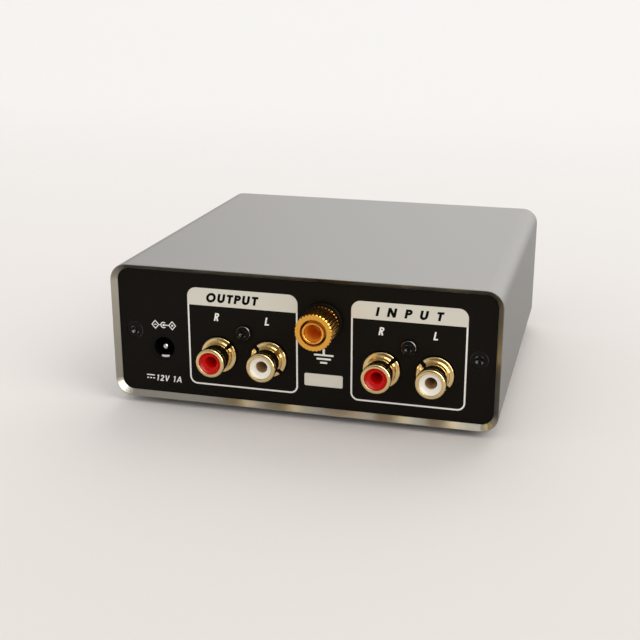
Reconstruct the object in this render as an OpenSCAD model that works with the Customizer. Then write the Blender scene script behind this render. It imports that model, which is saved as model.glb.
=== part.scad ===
// Phono preamp in an extruded metal tube with a panel at each end.
// Millimetres. +Y is the connector end, -Y the switch end, +Z is up.
// The origin is on the surface it stands on, under the middle of the case.

/* [Case tube] */
// Width of the tube, side to side
case_w = 108; // [98:1:130]
// Height of the tube without its feet
case_h = 38.5; // [37.5:0.5:48]
// Depth of the tube, from its front end to its rear end
case_d = 100; // [90:1:140]
// Thickness of the tube's wall
wall_t = 1.5; // [1.2:0.1:2]
// Radius of the tube's outer long corners
corner_r = 4.8; // [3.5:0.1:6]
// Flat edge left outside the chamfer at each end of the tube
edge_land = 0.15; // [0.1:0.05:0.4]
// How far each end panel sits below the end of the tube
panel_recess = 1.4; // [0.8:0.1:2]

/* [End panels] */
// Thickness of the two end panels
panel_t = 2; // [1.6:0.1:2.6]
// Gap between a panel's edge and the tube's wall
panel_gap = 0.1; // [0.05:0.05:0.2]
// Distance of each panel screw from the tube's outer side
side_screw_inset = 5.9; // [5.6:0.1:6.6]
// Diameter of a panel screw's thread
side_screw_d = 2.5; // [2:0.1:3]
// Diameter of a panel screw's countersunk head
side_screw_head_d = 4.8; // [4.2:0.1:5.4]
// Length of a panel screw with its head
side_screw_l = 9; // [7:0.5:12]
// Outer diameter of the screw ports in the tube
port_d = 5.8; // [5:0.1:6.4]

/* [Board] */
// Height of the board's upper face above the tube's underside
board_top = 8; // [7:0.1:8.4]
// Thickness of the board
board_t = 1.6; // [1.2:0.1:2]
// Gap from each side edge of the board to the tube's wall
board_gap = 0.3; // [0.2:0.1:0.6]
// Gap from each end of the board to the end panel
board_end_gap = 0.4; // [0.3:0.1:1]
// How far the slot rails stand in from the tube's wall
rail_w = 2.6; // [2:0.1:3]
// Thickness of one slot rail
rail_t = 1.4; // [1:0.1:1.6]

/* [Phono sockets] */
// Height of the sockets' centres above the tube's underside
jack_h = 14.35; // [13.8:0.05:15.5]
// Distance between the two sockets of a pair
jack_pitch = 14.3; // [13.8:0.1:16]
// Distance of the output pair's middle from the centre line
output_x = 15.95; // [15.5:0.05:17]
// Distance of the input pair's middle from the tube's outer side
input_inset = 24.35; // [23.7:0.05:25.5]
// Outer diameter of a socket's barrel
barrel_d = 8.1; // [8:0.05:8.4]
// Length of the barrel in front of the panel
barrel_l = 8.1; // [7.5:0.1:9.5]
// Thickness of the barrel's wall
barrel_t = 1; // [0.8:0.05:1.1]
// Radius of the rolled front edge of the barrel
bead_r = 0.75; // [0.4:0.05:0.8]
// Diameter of the flange round the barrel
flange_d = 10.15; // [9.8:0.05:10.8]
// How far the flange stands out of the panel
flange_h = 1; // [0.6:0.1:1.4]
// Width of the two notches in each flange
notch_w = 1.15; // [0.8:0.05:1.6]
// Diameter of the hole for a plug's centre pin
pin_hole_d = 3.5; // [3.4:0.05:4]
// Depth of the dish in the face of the coloured insert
dish_h = 0.45; // [0.2:0.05:0.8]
// Depth of the sleeve that grips a plug's pin, below the insert's face
contact_recess = 1; // [0.8:0.1:6]
// Depth of the moulded block behind the panel
housing_l = 11; // [9:0.5:14]
// Width of the moulded block round a pair
housing_w = 26; // [25.6:0.1:26.4]
// Height of the moulded block above the board
housing_h = 16.2; // [15.5:0.1:18]
// Height of the block's fixing screw above the sockets' centres
block_screw_up = 6.8; // [6.6:0.1:7.2]
// Thread diameter of the block's fixing screw
block_screw_d = 2.6; // [2.2:0.1:2.8]
// Head diameter of the block's fixing screw
block_screw_head_d = 4.4; // [4:0.1:4.8]
// Length of the block's fixing screw under its head
block_screw_l = 9; // [7:0.5:10]

/* [Power socket] */
// Distance of the power socket's centre from the tube's outer side
dc_inset = 14.5; // [14.2:0.1:15]
// Height of the power socket's centre above the tube's underside
dc_h = 14.8; // [14:0.1:16]
// Diameter of the hole that a power plug enters
dc_hole_d = 6; // [5.8:0.1:6.4]
// Thickness of the socket's nose round the hole
dc_nose_t = 0.8; // [0.75:0.05:1]
// Width of the power socket's body
dc_body_w = 9; // [8.4:0.1:9.6]
// Length of the power socket's body behind the panel
dc_body_l = 13.5; // [12:0.5:16]
// Depth of the plug's hole from the nose
dc_hole_l = 10; // [9:0.5:11]
// Diameter of the centre pin
dc_pin_d = 2; // [1.8:0.1:2.5]
// How far the pin's tip is below the panel's face
dc_pin_recess = 0.5; // [0.4:0.1:2]
// How far the leaf contact's end is below the panel's face
dc_leaf_recess = 0.5; // [0.5:0.1:1.5]

/* [Ground post] */
// Distance of the ground post from the centre line
post_x = 6.4; // [5.8:0.1:7]
// Height of the ground post above the tube's underside
post_h = 26.35; // [26:0.05:27.5]
// Diameter of the post's threaded stud
stud_d = 6; // [5.6:0.1:6.4]
// Diameter of the plug hole in the end of the stud
socket_d = 4.1; // [4:0.05:4.3]
// Depth of the plug hole in the end of the stud
socket_l = 8; // [6:0.5:9]
// Outer diameter of the knurled thumb nut
nut_d = 10.16; // [9.6:0.08:10.8]
// Length of the knurled thumb nut
nut_l = 7.8; // [7:0.1:10]
// Number of ridges round the thumb nut
knurls = 32; // [24:1:40]
// Depth of the knurl's grooves
knurl_depth = 0.32; // [0.15:0.01:0.4]
// Depth of the counterbore in the front of the thumb nut
counterbore_l = 3; // [1:0.5:4]
// Thickness of the captive washer behind the thumb nut
washer_t = 1.2; // [0.6:0.1:1.6]
// Thickness of the insulating collar on the panel
collar_t = 1.4; // [1.2:0.1:2.5]
// Diameter of the insulating collar
collar_d = 10.8; // [10:0.1:11.2]

/* [Power switch] */
// Distance of the switch from the tube's outer side
switch_inset = 18; // [16:0.5:20]
// Diameter of the switch's threaded bushing
bushing_d = 6; // [5.8:0.1:6.4]
// How far the bushing stands out of the front panel
bushing_out = 4.2; // [3.6:0.1:5]
// Length of the lever from its pivot to its tip
lever_l = 9.8; // [8.5:0.1:12]
// Diameter of the lever at its tip
lever_d = 2.7; // [2.4:0.1:3.2]
// Diameter of the steel pin that the lever turns on
switch_pin_d = 1; // [0.8:0.1:1.2]
// Whole swing of the lever between its two places
lever_swing = 25; // [20:1:26]
// Width of the switch's body
switch_w = 8; // [7.4:0.1:9]
// Height of the switch's body
switch_h = 9; // [8.6:0.1:10]
// Length of the switch's body
switch_l = 9; // [8:0.1:12]

/* [Power light] */
// Distance from the switch to the light
led_pitch = 11; // [10:0.5:14]
// Diameter of the light's lens
led_d = 3; // [2.8:0.1:3.2]
// Outer diameter of the light's bezel
bezel_d = 5.8; // [5.4:0.1:6.4]

/* [Feet] */
// Height of the stick-on feet
foot_h = 2; // [1.5:0.1:4]
// Diameter of the stick-on feet
foot_d = 10; // [8:0.5:12]
// Distance of each foot's centre from the nearest sides and ends
foot_inset = 12; // [10:0.5:16]

/* [Hidden] */
$fn = 64;

// Running clearance of a part that turns, and seating clearance of a part that only sits
turn_gap = 0.05;
seat_gap = 0.03;
// How far a cutter runs past the face it cuts
over = 0.5;

// The tube's cavity and where the panels sit in it
cavity_w = case_w - 2 * wall_t;
cavity_h = case_h - 2 * wall_t;
cavity_r = corner_r - wall_t;
panel_face = case_d / 2 - panel_recess;
panel_back = panel_face - panel_t;
case_mid = foot_h + case_h / 2;
side_screw_x = case_w / 2 - side_screw_inset;
countersink_h = (side_screw_head_d - side_screw_d) / 2;
head_sink = 0.12;
head_land = 0.15;
port_slot_w = 1.2;

// The board and the rails of its slot
board_z = foot_h + board_top;
board_w = cavity_w - 2 * board_gap;
board_y = panel_back - board_end_gap;
slot_gap = 0.06;
lead_below = 1.6;
lead_low = board_z - board_t - lead_below;
wire_t = 0.5;
lead_pitch = 2.54;

// The phono sockets
jack_z = foot_h + jack_h;
input_x = case_w / 2 - input_inset;
barrel_r = barrel_d / 2;
bore_r = barrel_r - barrel_t;
neck_r = barrel_r - 0.2;
flange_r = flange_d / 2;
pin_hole_r = pin_hole_d / 2;
insert_set = 0.15;
sleeve_t = 0.25;
contact_tail_out = 1.7;
shell_tail_y = -panel_t - housing_l;
contact_tail_y = shell_tail_y - contact_tail_out;
tail_t = 0.6;
tail_w = 1.6;
tail_gap_w = 0.4;
tail_gap_t = 0.3;
peg_d = 1.8;
peg_inset = 3;
peg_below = 0.6;
block_screw_z = jack_z + block_screw_up;
JACKS = [
    ["output_right", output_x + jack_pitch / 2, "firebrick", 137],
    ["output_left", output_x - jack_pitch / 2, "ivory", 43],
    ["input_right", -input_x + jack_pitch / 2, "firebrick", 137],
    ["input_left", -input_x - jack_pitch / 2, "ivory", 43]
];

// The power socket
dc_x = case_w / 2 - dc_inset;
dc_z = foot_h + dc_h;
dc_hole_r = dc_hole_d / 2;
dc_nose_d = dc_hole_d + 2 * dc_nose_t;
dc_pin_tail_y = -panel_t - dc_body_l - 1.8;
dc_leaf_tail_y = -panel_t - dc_body_l - tail_t;
dc_leaf_w = 2.8;
dc_leaf_t = 0.3;
dc_leaf_flex = 0.4;

// The ground post's stack, measured outwards from the panel's face
post_z = foot_h + post_h;
stud_r = stud_d / 2;
washer_y = collar_t + 0.1;
thumb_nut_y = washer_y + washer_t + turn_gap;
stud_out = thumb_nut_y + nut_l;
inner_washer_t = 1.2;
tag_t = tail_t;
lock_nut_t = 2.6;
lock_nut_d = 10;
stud_in = panel_t + inner_washer_t + tag_t + lock_nut_t + 1.4;

// The power switch and its light, measured outwards from the front panel's face
switch_x = case_w / 2 - switch_inset;
switch_back = panel_t + 1;
pivot_out = 1;
ball_r = 2.3;
switch_nut_d = 8;
switch_nut_t = 1.8;
switch_washer_t = 0.5;
terminal_t = 0.8;
terminal_pitch = 2.5;
terminal_out = 2.4;
terminal_y = -panel_face + switch_back + switch_l;
led_x = switch_x - led_pitch;
led_lead_y = -panel_back + 1.9;
led_lead_out = 4;

// Parts on the board: sizes are width, depth and height. Each place is from the board's
// side edge or front edge, or from the middle of the tube's depth
film_size = [6, 13, 12];
film_edge = 8.2;
film_space = 2.5;
film_y = -20;
cap_d = 10;
cap_l = 16;
cap_edge = 13.7;
cap_space = 1;
cap_y = -14;
chip_size = [6.4, 9.4, 3.3];
chip_stand = 0.8;
chip_leg = [1, 0.5];
chip_edge = 16.2;
chip_pitch = 16;
chip_y = 4;
regulator_size = [10, 4.5, 9];
regulator_stand = 4;
regulator_tab = [10, 1.3, 15];
regulator_hole_d = 3.7;
regulator_leg = [0.8, 0.5];
resistor_count = 10;
resistor_r = 1.2;
resistor_l = 6;
resistor_pitch = 4.2;
resistor_stand = 0.3;
resistor_wire_out = 1.5;
resistor_edge = 12.2;

// Puts a shape drawn along +Z on the rear panel's face, with +Z outwards
module on_rear(x, z) {
    translate([x, panel_face, z])
        rotate([-90, 0, 0])
            children();
}

// Puts a shape drawn along +Z on the front panel's face, with +Z outwards
module on_front(x, z) {
    translate([x, -panel_face, z])
        rotate([90, 0, 0])
            children();
}

// Extrudes a flat outline, drawn as seen from the front, between two depths
module along_y(from_y, to_y) {
    translate([0, to_y, 0])
        rotate([90, 0, 0])
            linear_extrude(height = to_y - from_y)
                children();
}

// A rectangle with round corners
module rounded_rect(w, h, r) {
    square([w - 2 * r, h], center = true);
    square([w, h - 2 * r], center = true);
    for (sx = [-1, 1], sy = [-1, 1])
        translate([sx * (w / 2 - r), sy * (h / 2 - r)])
            circle(r);
}

// A pin along +Z whose top edge is rounded
module round_ended_pin(r, l, round_r) {
    rotate_extrude()
        union() {
            square([r - round_r, l]);
            square([r, l - round_r]);
            translate([r - round_r, l - round_r])
                intersection() {
                    circle(round_r);
                    square(round_r);
                }
        }
}

// A tube along +Z
module ring(outer_r, inner_r, h) {
    difference() {
        cylinder(r = outer_r, h = h);
        translate([0, 0, -over])
            cylinder(r = inner_r, h = h + 2 * over);
    }
}

// A hexagonal nut along +Z, with its corners taken off
module hex_nut(across, bore_d, h) {
    corner = across / sqrt(3);
    difference() {
        intersection() {
            cylinder(r = corner, h = h, $fn = 6);
            cylinder(r1 = corner - 0.35 + h, r2 = corner - 0.35, h = h);
        }
        translate([0, 0, -over])
            cylinder(d = bore_d, h = h + 2 * over);
    }
}

// The cross cut into a screw's head, from z = 0 down, its four wings tapering to a point as the driver does
module cross_recess(size, depth) {
    wing_t = size / 4;
    slope = size * 0.3 / depth;
    intersection() {
        for (turn = [0, 90])
            rotate(turn)
                translate([-size, -wing_t / 2, -depth])
                    cube([2 * size, wing_t, depth + over]);
        translate([0, 0, -depth])
            cylinder(r1 = size * 0.2, r2 = size / 2 + slope * over, h = depth + over);
    }
}

// ---- Case ----

// The flare that leaves a chamfer round the inside of the tube's rear mouth
module mouth_flare() {
    grow = (wall_t - edge_land) * (panel_recess + over) / panel_recess;
    span_x = cavity_w / 2 - cavity_r;
    span_z = cavity_h / 2 - cavity_r;
    deep = panel_recess + over;
    translate([0, panel_face, case_mid])
        rotate([-90, 0, 0]) {
            for (sx = [-1, 1], sz = [-1, 1])
                translate([sx * span_x, sz * span_z, 0])
                    cylinder(r1 = cavity_r, r2 = cavity_r + grow, h = deep);
            rotate([90, 0, 90])
                linear_extrude(height = 2 * span_x, center = true)
                    flare_side(cavity_h / 2, grow, deep);
            rotate([90, 0, 0])
                linear_extrude(height = 2 * span_z, center = true)
                    flare_side(cavity_w / 2, grow, deep);
        }
}

module flare_side(half, grow, deep) {
    polygon([[-half, 0], [half, 0], [half + grow, deep], [-half - grow, deep]]);
}

// The rails that hold the board and the ports that take the panel screws
module tube_rails() {
    bite = wall_t / 2;
    rail_x = cavity_w / 2 - rail_w;
    translate([0, foot_h + board_top])
        for (side = [-1, 1])
            scale([side, 1])
                for (low = [slot_gap, -board_t - slot_gap - rail_t])
                    translate([rail_x, low])
                        square([rail_w + bite, rail_t]);
    for (side = [-1, 1])
        scale([side, 1])
            screw_port(bite);
}

// One port on the tube's wall, a C that opens towards the middle so that the die can form its bore
module screw_port(bite) {
    difference() {
        union() {
            translate([side_screw_x, case_mid])
                circle(d = port_d);
            translate([side_screw_x, case_mid - port_d / 4])
                square([cavity_w / 2 - side_screw_x + bite, port_d / 2]);
        }
        translate([side_screw_x - port_d, case_mid - port_slot_w / 2])
            square([port_d, port_slot_w]);
    }
}

module case_tube() {
    color("silver")
        difference() {
            union() {
                difference() {
                    along_y(-case_d / 2, case_d / 2)
                        translate([0, case_mid])
                            rounded_rect(case_w, case_h, corner_r);
                    along_y(-case_d / 2 - over, case_d / 2 + over)
                        translate([0, case_mid])
                            rounded_rect(cavity_w, cavity_h, cavity_r);
                }
                along_y(-panel_back, panel_back)
                    tube_rails();
            }
            mouth_flare();
            mirror([0, 1, 0])
                mouth_flare();
            for (side = [-1, 1])
                along_y(-case_d / 2, case_d / 2)
                    translate([side * side_screw_x, case_mid])
                        circle(d = side_screw_d + 2 * seat_gap);
        }
}

// A plate that drops into the tube's mouth, with its two countersunk holes
module panel_plate() {
    difference() {
        along_y(panel_back, panel_face)
            translate([0, case_mid])
                rounded_rect(cavity_w - 2 * panel_gap, cavity_h - 2 * panel_gap, cavity_r - panel_gap);
        for (side = [-1, 1])
            on_rear(side * side_screw_x, case_mid) {
                translate([0, 0, -panel_t - over])
                    cylinder(d = side_screw_d + 2 * seat_gap, h = panel_t + 2 * over);
                translate([0, 0, -head_sink - head_land]) {
                    cylinder(d = side_screw_head_d + 2 * seat_gap, h = head_sink + head_land + over);
                    translate([0, 0, -countersink_h - seat_gap])
                        cylinder(
                            d1 = side_screw_d,
                            d2 = side_screw_head_d + 2 * seat_gap,
                            h = countersink_h + seat_gap
                        );
                }
            }
    }
}

module rear_panel() {
    color("#1c1a16")
        difference() {
            panel_plate();
            for (jack = JACKS)
                on_rear(jack[1], jack_z)
                    through_hole(flange_d + 0.3);
            for (x = [output_x, -input_x])
                on_rear(x, block_screw_z)
                    through_hole(block_screw_d + 0.3);
            on_rear(dc_x, dc_z)
                through_hole(dc_nose_d + 0.1);
            on_rear(-post_x, post_z)
                through_hole(stud_d + 2);
        }
}

module front_panel() {
    color("#1c1a16")
        difference() {
            mirror([0, 1, 0])
                panel_plate();
            on_front(switch_x, case_mid)
                through_hole(bushing_d + 0.2);
            on_front(led_x, case_mid)
                through_hole(led_d + 1.7);
        }
}

module through_hole(d) {
    translate([0, 0, -panel_t - over])
        cylinder(d = d, h = panel_t + 2 * over);
}

// A countersunk cross-head screw, its flat head at z = 0
module countersunk_screw() {
    difference() {
        rotate_extrude()
            polygon([
                [0, 0], [side_screw_head_d / 2, 0], [side_screw_head_d / 2, -head_land],
                [side_screw_d / 2, -head_land - countersink_h], [side_screw_d / 2, -side_screw_l + 0.6],
                [side_screw_d / 2 - 0.6, -side_screw_l], [0, -side_screw_l]
            ]);
        cross_recess(side_screw_head_d * 0.55, 0.9);
    }
}

module rear_panel_screws() {
    color("#26241f")
        for (side = [-1, 1])
            on_rear(side * side_screw_x, case_mid)
                translate([0, 0, -head_sink])
                    rotate(35)
                        countersunk_screw();
}

module front_panel_screws() {
    color("#26241f")
        for (side = [-1, 1])
            on_front(side * side_screw_x, case_mid)
                translate([0, 0, -head_sink])
                    rotate(20)
                        countersunk_screw();
}

// A rubber foot under the case, at one corner
module foot(side_x, side_y) {
    edge = 0.5;
    color("#222222")
        translate([side_x * (case_w / 2 - foot_inset), side_y * (case_d / 2 - foot_inset), foot_h])
            mirror([0, 0, 1])
                rotate_extrude()
                    polygon([
                        [0, 0], [foot_d / 2, 0], [foot_d / 2 - edge / 2, foot_h - edge],
                        [foot_d / 2 - edge * 1.5, foot_h], [0, foot_h]
                    ]);
}

// ---- Phono sockets ----

// The gold shell: barrel with a rolled front edge, flange with two notches, neck and ground tail
module rca_shell(x, notch_turn) {
    shoulder = 0.35;
    cove = 0.45;
    color("#c9a050")
        difference() {
            union() {
                on_rear(x, jack_z)
                    rotate_extrude()
                        difference() {
                            union() {
                                translate([0, -panel_t - housing_l - tail_t])
                                    square([neck_r, panel_t + housing_l + tail_t + over]);
                                square([barrel_r, barrel_l - bead_r]);
                                square([barrel_r - bead_r, barrel_l]);
                                translate([barrel_r - bead_r, barrel_l - bead_r])
                                    circle(bead_r);
                                square([flange_r, flange_h - shoulder]);
                                square([flange_r - shoulder, flange_h]);
                                translate([flange_r - shoulder, flange_h - shoulder])
                                    circle(shoulder);
                                difference() {
                                    translate([neck_r, flange_h - cove])
                                        square([barrel_r - neck_r + cove, 2 * cove]);
                                    translate([barrel_r + cove, flange_h + cove])
                                        circle(cove);
                                }
                            }
                            translate([0, -panel_t - housing_l - 2 * tail_t])
                                square([bore_r, panel_t + housing_l + barrel_l + 3 * tail_t]);
                        }
                tail(x, panel_face + shell_tail_y - tail_t, jack_z - neck_r + 0.3);
            }
            on_rear(x, jack_z)
                rotate(-notch_turn)
                    for (side = [-1, 1])
                        translate([side * (barrel_r + over + 0.05) - over, -notch_w / 2, -over])
                            cube([2 * over, notch_w, flange_h + 2 * over]);
        }
}

// A flat tail behind a socket, down from a height and through the board
module tail(x, y, top) {
    translate([x - tail_w / 2, y, lead_low])
        cube([tail_w, tail_t, top - lead_low]);
}

// The coloured moulding inside the barrel, its face dished towards the hole for the plug's pin
module rca_insert(x, tint) {
    r = bore_r - seat_gap;
    front = barrel_l - insert_set;
    edge = 0.15;
    color(tint)
        on_rear(x, jack_z)
            rotate_extrude()
                polygon([
                    [pin_hole_r, -panel_t - housing_l], [r, -panel_t - housing_l], [r, front - edge],
                    [r - edge, front], [r - 2 * edge, front], [pin_hole_r + edge, front - dish_h],
                    [pin_hole_r, front - dish_h - edge]
                ]);
}

// The split sleeve that grips the plug's pin, with its tail to the board
module rca_contact(x) {
    r = pin_hole_r - seat_gap;
    slot_w = 0.5;
    slot_l = 4;
    front = barrel_l - insert_set - contact_recess;
    back = contact_tail_y;
    color("#d8b060") {
        on_rear(x, jack_z)
            difference() {
                translate([0, 0, back])
                    cylinder(r = r, h = front - back);
                translate([0, 0, back + tail_t])
                    cylinder(r = r - sleeve_t, h = front - back);
                for (turn = [10, 100])
                    rotate(turn)
                        translate([-r - over, -slot_w / 2, front - slot_l])
                            cube([2 * (r + over), slot_w, slot_l + over]);
            }
        tail(x, panel_face + contact_tail_y, jack_z);
    }
}

// The black moulded block of one pair, with the raised rings and keys that fill the panel's holes
module rca_housing(mid_x, names) {
    mine = [for (jack = JACKS) if (jack[0] == names[0] || jack[0] == names[1]) jack];
    color("#201e1b")
        difference() {
            union() {
                translate([mid_x - housing_w / 2, panel_back - housing_l, board_z])
                    cube([housing_w, housing_l, housing_h]);
                for (jack = mine)
                    on_rear(jack[1], jack_z) {
                        translate([0, 0, -panel_t - over])
                            cylinder(r = flange_r, h = panel_t + over - seat_gap);
                        rotate(-jack[3])
                            for (side = [-1, 1])
                                translate([side * (barrel_r + 0.15), 0, -over])
                                    housing_key(side);
                    }
                for (side = [-1, 1])
                    translate([
                        mid_x + side * (housing_w / 2 - peg_inset),
                        panel_back - housing_l / 2,
                        board_z - board_t - peg_below
                    ])
                        cylinder(d = peg_d, h = board_t + peg_below + over);
            }
            for (jack = mine)
                on_rear(jack[1], jack_z)
                    translate([0, 0, -panel_t - housing_l - over])
                        cylinder(r = neck_r + seat_gap, h = panel_t + housing_l + flange_h + 2 * over);
            on_rear(mid_x, block_screw_z)
                translate([0, 0, -panel_t - housing_l - over])
                    cylinder(d = block_screw_d + 2 * seat_gap, h = housing_l + 2 * over);
        }
}

// One key of the block, standing in a notch of the flange
module housing_key(side) {
    w = notch_w - 2 * seat_gap;
    l = flange_r - barrel_r - 0.3;
    translate([side > 0 ? 0 : -l, -w / 2, 0])
        cube([l, w, flange_h + over - 0.15]);
}

// The two pan-head screws that hold the blocks to the panel
module rca_block_screws() {
    head_r = block_screw_head_d / 2;
    head_h = 1.3;
    color("#26241f")
        for (x = [output_x, -input_x])
            on_rear(x, block_screw_z)
                difference() {
                    union() {
                        rotate(25)
                            round_ended_pin(head_r, head_h, 0.8);
                        translate([0, 0, -block_screw_l])
                            cylinder(d = block_screw_d, h = block_screw_l + head_h / 2);
                    }
                    translate([0, 0, head_h])
                        rotate(30)
                            cross_recess(block_screw_head_d * 0.62, 0.9);
                }
}

// ---- Power socket ----

module dc_jack_body() {
    color("#181818")
        difference() {
            union() {
                translate([dc_x - dc_body_w / 2, panel_back - dc_body_l, board_z])
                    cube([dc_body_w, dc_body_l, dc_h - board_top]);
                along_y(panel_back - dc_body_l, panel_back)
                    translate([dc_x, dc_z])
                        circle(d = dc_body_w);
                on_rear(dc_x, dc_z)
                    translate([0, 0, -panel_t - over])
                        cylinder(d = dc_nose_d, h = panel_t + over - 0.1);
            }
            on_rear(dc_x, dc_z)
                translate([0, 0, -dc_hole_l])
                    cylinder(d = dc_hole_d, h = dc_hole_l + over);
            on_rear(dc_x, dc_z)
                translate([0, 0, -panel_t - dc_body_l - over])
                    cylinder(d = dc_pin_d + 2 * seat_gap, h = panel_t + dc_body_l);
            leaf_slot(panel_back - 1, dc_leaf_t + dc_leaf_flex);
            leaf_slot(panel_face - dc_leaf_recess + 0.1, dc_leaf_t + 0.15);
        }
}

// The slot under the plug's hole that the leaf lies in, from the body's back up to a depth
module leaf_slot(front_y, below) {
    w = dc_leaf_w + 0.2;
    back_y = panel_back - dc_body_l - over;
    translate([dc_x - w / 2, back_y, dc_z - dc_hole_r - below])
        cube([w, front_y - back_y, dc_hole_r / 2 + below]);
}

// The centre pin, with its rear tail to the board
module dc_jack_pin() {
    r = dc_pin_d / 2;
    color("silver") {
        on_rear(dc_x, dc_z)
            translate([0, 0, dc_pin_tail_y])
                round_ended_pin(r, -dc_pin_recess - dc_pin_tail_y, r - 0.02);
        tail(dc_x, panel_face + dc_pin_tail_y, dc_z);
    }
}

// The leaf that touches the plug's sleeve: a steep lip at the mouth, a long bow, and its tail to the board
module dc_jack_spring() {
    lip = -dc_hole_r - dc_leaf_t;
    rest = lip - 0.05;
    crest = lip + 0.35;
    front = -dc_leaf_recess;
    run = [
        [dc_leaf_tail_y, rest], [front - 6.5, rest], [front - 3.5, crest], [front - 0.7, crest], [front, lip]
    ];
    color("silver") {
        translate([dc_x - dc_leaf_w / 2, panel_face, dc_z])
            rotate([90, 0, 90])
                linear_extrude(height = dc_leaf_w)
                    polygon(concat(run, [for (i = [len(run) - 1 : -1 : 0]) run[i] + [0, dc_leaf_t]]));
        tail(dc_x, panel_face + dc_leaf_tail_y, dc_z + rest + dc_leaf_t);
    }
}

// ---- Ground post ----

module ground_stud() {
    edge = 0.2;
    lead_in = 1.6;
    slant = 0.22;
    color("#c08a2c")
        on_rear(-post_x, post_z)
            difference() {
                translate([0, 0, -stud_in])
                    rotate_extrude()
                        polygon([
                            [0, 0], [stud_r - 0.5, 0], [stud_r, 0.5], [stud_r, stud_in + stud_out - edge],
                            [stud_r - edge, stud_in + stud_out], [0, stud_in + stud_out]
                        ]);
                translate([0, 0, stud_out - socket_l])
                    cylinder(d = socket_d, h = socket_l + over);
                translate([0, 0, stud_out - lead_in])
                    cylinder(d1 = socket_d, d2 = socket_d + 2 * slant * (lead_in + over), h = lead_in + over);
            }
}

// The black collar between the post and the panel, with a spigot in the panel's hole
module ground_collar() {
    color("#1d1b18")
        on_rear(-post_x, post_z)
            difference() {
                union() {
                    round_ended_pin(collar_d / 2, collar_t, 0.3);
                    translate([0, 0, -panel_t + 0.1])
                        cylinder(d = stud_d + 1.9, h = panel_t);
                }
                translate([0, 0, -panel_t - over])
                    cylinder(d = stud_d + 2 * seat_gap, h = panel_t + collar_t + 2 * over);
            }
}

module ground_inner_washer() {
    color("#1d1b18")
        on_rear(-post_x, post_z)
            translate([0, 0, -panel_t - inner_washer_t])
                ring(collar_d / 2, stud_r + seat_gap, inner_washer_t);
}

// The tinned tag under the lock nut, whose strap runs down into the board
module ground_tag() {
    strap_w = 3;
    color("gainsboro")
        on_rear(-post_x, post_z)
            translate([0, 0, -panel_t - inner_washer_t - tag_t])
                linear_extrude(height = tag_t)
                    difference() {
                        union() {
                            circle(d = lock_nut_d);
                            translate([-strap_w / 2, 0])
                                square([strap_w, post_z - board_z - 1]);
                            translate([-tail_w / 2, 0])
                                square([tail_w, post_z - lead_low]);
                        }
                        circle(r = stud_r + seat_gap);
                    }
}

module ground_lock_nut() {
    color("#c08a2c")
        on_rear(-post_x, post_z)
            translate([0, 0, -panel_t - inner_washer_t - tag_t - lock_nut_t])
                hex_nut(lock_nut_d, stud_d + 2 * seat_gap, lock_nut_t);
}

// The thin washer that the thumb nut carries and presses on the wire
module ground_clamp_washer() {
    color("#c9a050")
        on_rear(-post_x, post_z)
            translate([0, 0, washer_y])
                difference() {
                    round_ended_pin(nut_d / 2 - 0.1, washer_t, 0.3);
                    translate([0, 0, -over])
                        cylinder(r = stud_r + turn_gap, h = washer_t + 2 * over);
                }
}

// The knurled thumb nut: ridges cut along it, both ends chamfered, counterbored in front
module ground_thumb_nut() {
    tip_r = nut_d / 2;
    root_r = tip_r - knurl_depth;
    bevel = 0.22;
    counterbore_d = stud_d + 1.4;
    color("#c9973c")
        on_rear(-post_x, post_z)
            translate([0, 0, thumb_nut_y])
                difference() {
                    intersection() {
                        linear_extrude(height = nut_l)
                            polygon([
                                for (i = [0 : 2 * knurls - 1])
                                    let (r = i % 2 == 0 ? tip_r : root_r, turn = 180 * i / knurls)
                                        [r * cos(turn), r * sin(turn)]
                            ]);
                        rotate_extrude()
                            polygon([
                                [0, 0], [tip_r - bevel, 0], [tip_r + over, bevel + over],
                                [tip_r + over, nut_l - bevel - over], [tip_r - bevel, nut_l], [0, nut_l]
                            ]);
                    }
                    translate([0, 0, -over])
                        cylinder(d = stud_d + 2 * turn_gap, h = nut_l + 2 * over);
                    translate([0, 0, nut_l - counterbore_l])
                        cylinder(d = counterbore_d, h = counterbore_l + over);
                }
}

// ---- Power switch and light ----

module switch_body() {
    color("#8c1f1a")
        difference() {
            translate([switch_x - switch_w / 2, -panel_face + switch_back, case_mid - switch_h / 2])
                cube([switch_w, switch_l, switch_h]);
            translate([switch_x - 2, -panel_face + switch_back - over, case_mid - 3])
                cube([4, 5.5 + over, 6]);
        }
}

module switch_bushing() {
    bore = ball_r + turn_gap;
    step = 0.4;
    color("gainsboro")
        on_front(switch_x, case_mid)
            translate([0, 0, -switch_back])
                difference() {
                    union() {
                        cylinder(d = bushing_d, h = switch_back + bushing_out - step);
                        cylinder(d = bushing_d - 2 * step, h = switch_back + bushing_out);
                        cylinder(d = switch_w, h = switch_back - panel_t - seat_gap);
                    }
                    translate([0, 0, -over])
                        cylinder(r = bore, h = switch_back + bushing_out + 2 * over);
                    translate([0, 0, switch_back + pivot_out])
                        across_switch(switch_pin_d + 2 * seat_gap, bushing_d + 2 * over);
                }
}

// A round bar across the switch, through the lever's pivot
module across_switch(d, l) {
    rotate([0, 90, 0])
        cylinder(d = d, h = l, center = true);
}

// The steel pin that the lever's ball turns on, seated in the bushing's walls and covered by the nut
module switch_pin() {
    color("gainsboro")
        on_front(switch_x, case_mid)
            translate([0, 0, pivot_out])
                across_switch(switch_pin_d, bushing_d - 0.2);
}

module switch_washer() {
    color("gainsboro")
        on_front(switch_x, case_mid)
            ring(switch_nut_d / 2 + 0.9, bushing_d / 2 + seat_gap, switch_washer_t);
}

module switch_nut() {
    color("gainsboro")
        on_front(switch_x, case_mid)
            translate([0, 0, switch_washer_t])
                rotate(12)
                    hex_nut(switch_nut_d, bushing_d + 2 * seat_gap, switch_nut_t);
}

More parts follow.
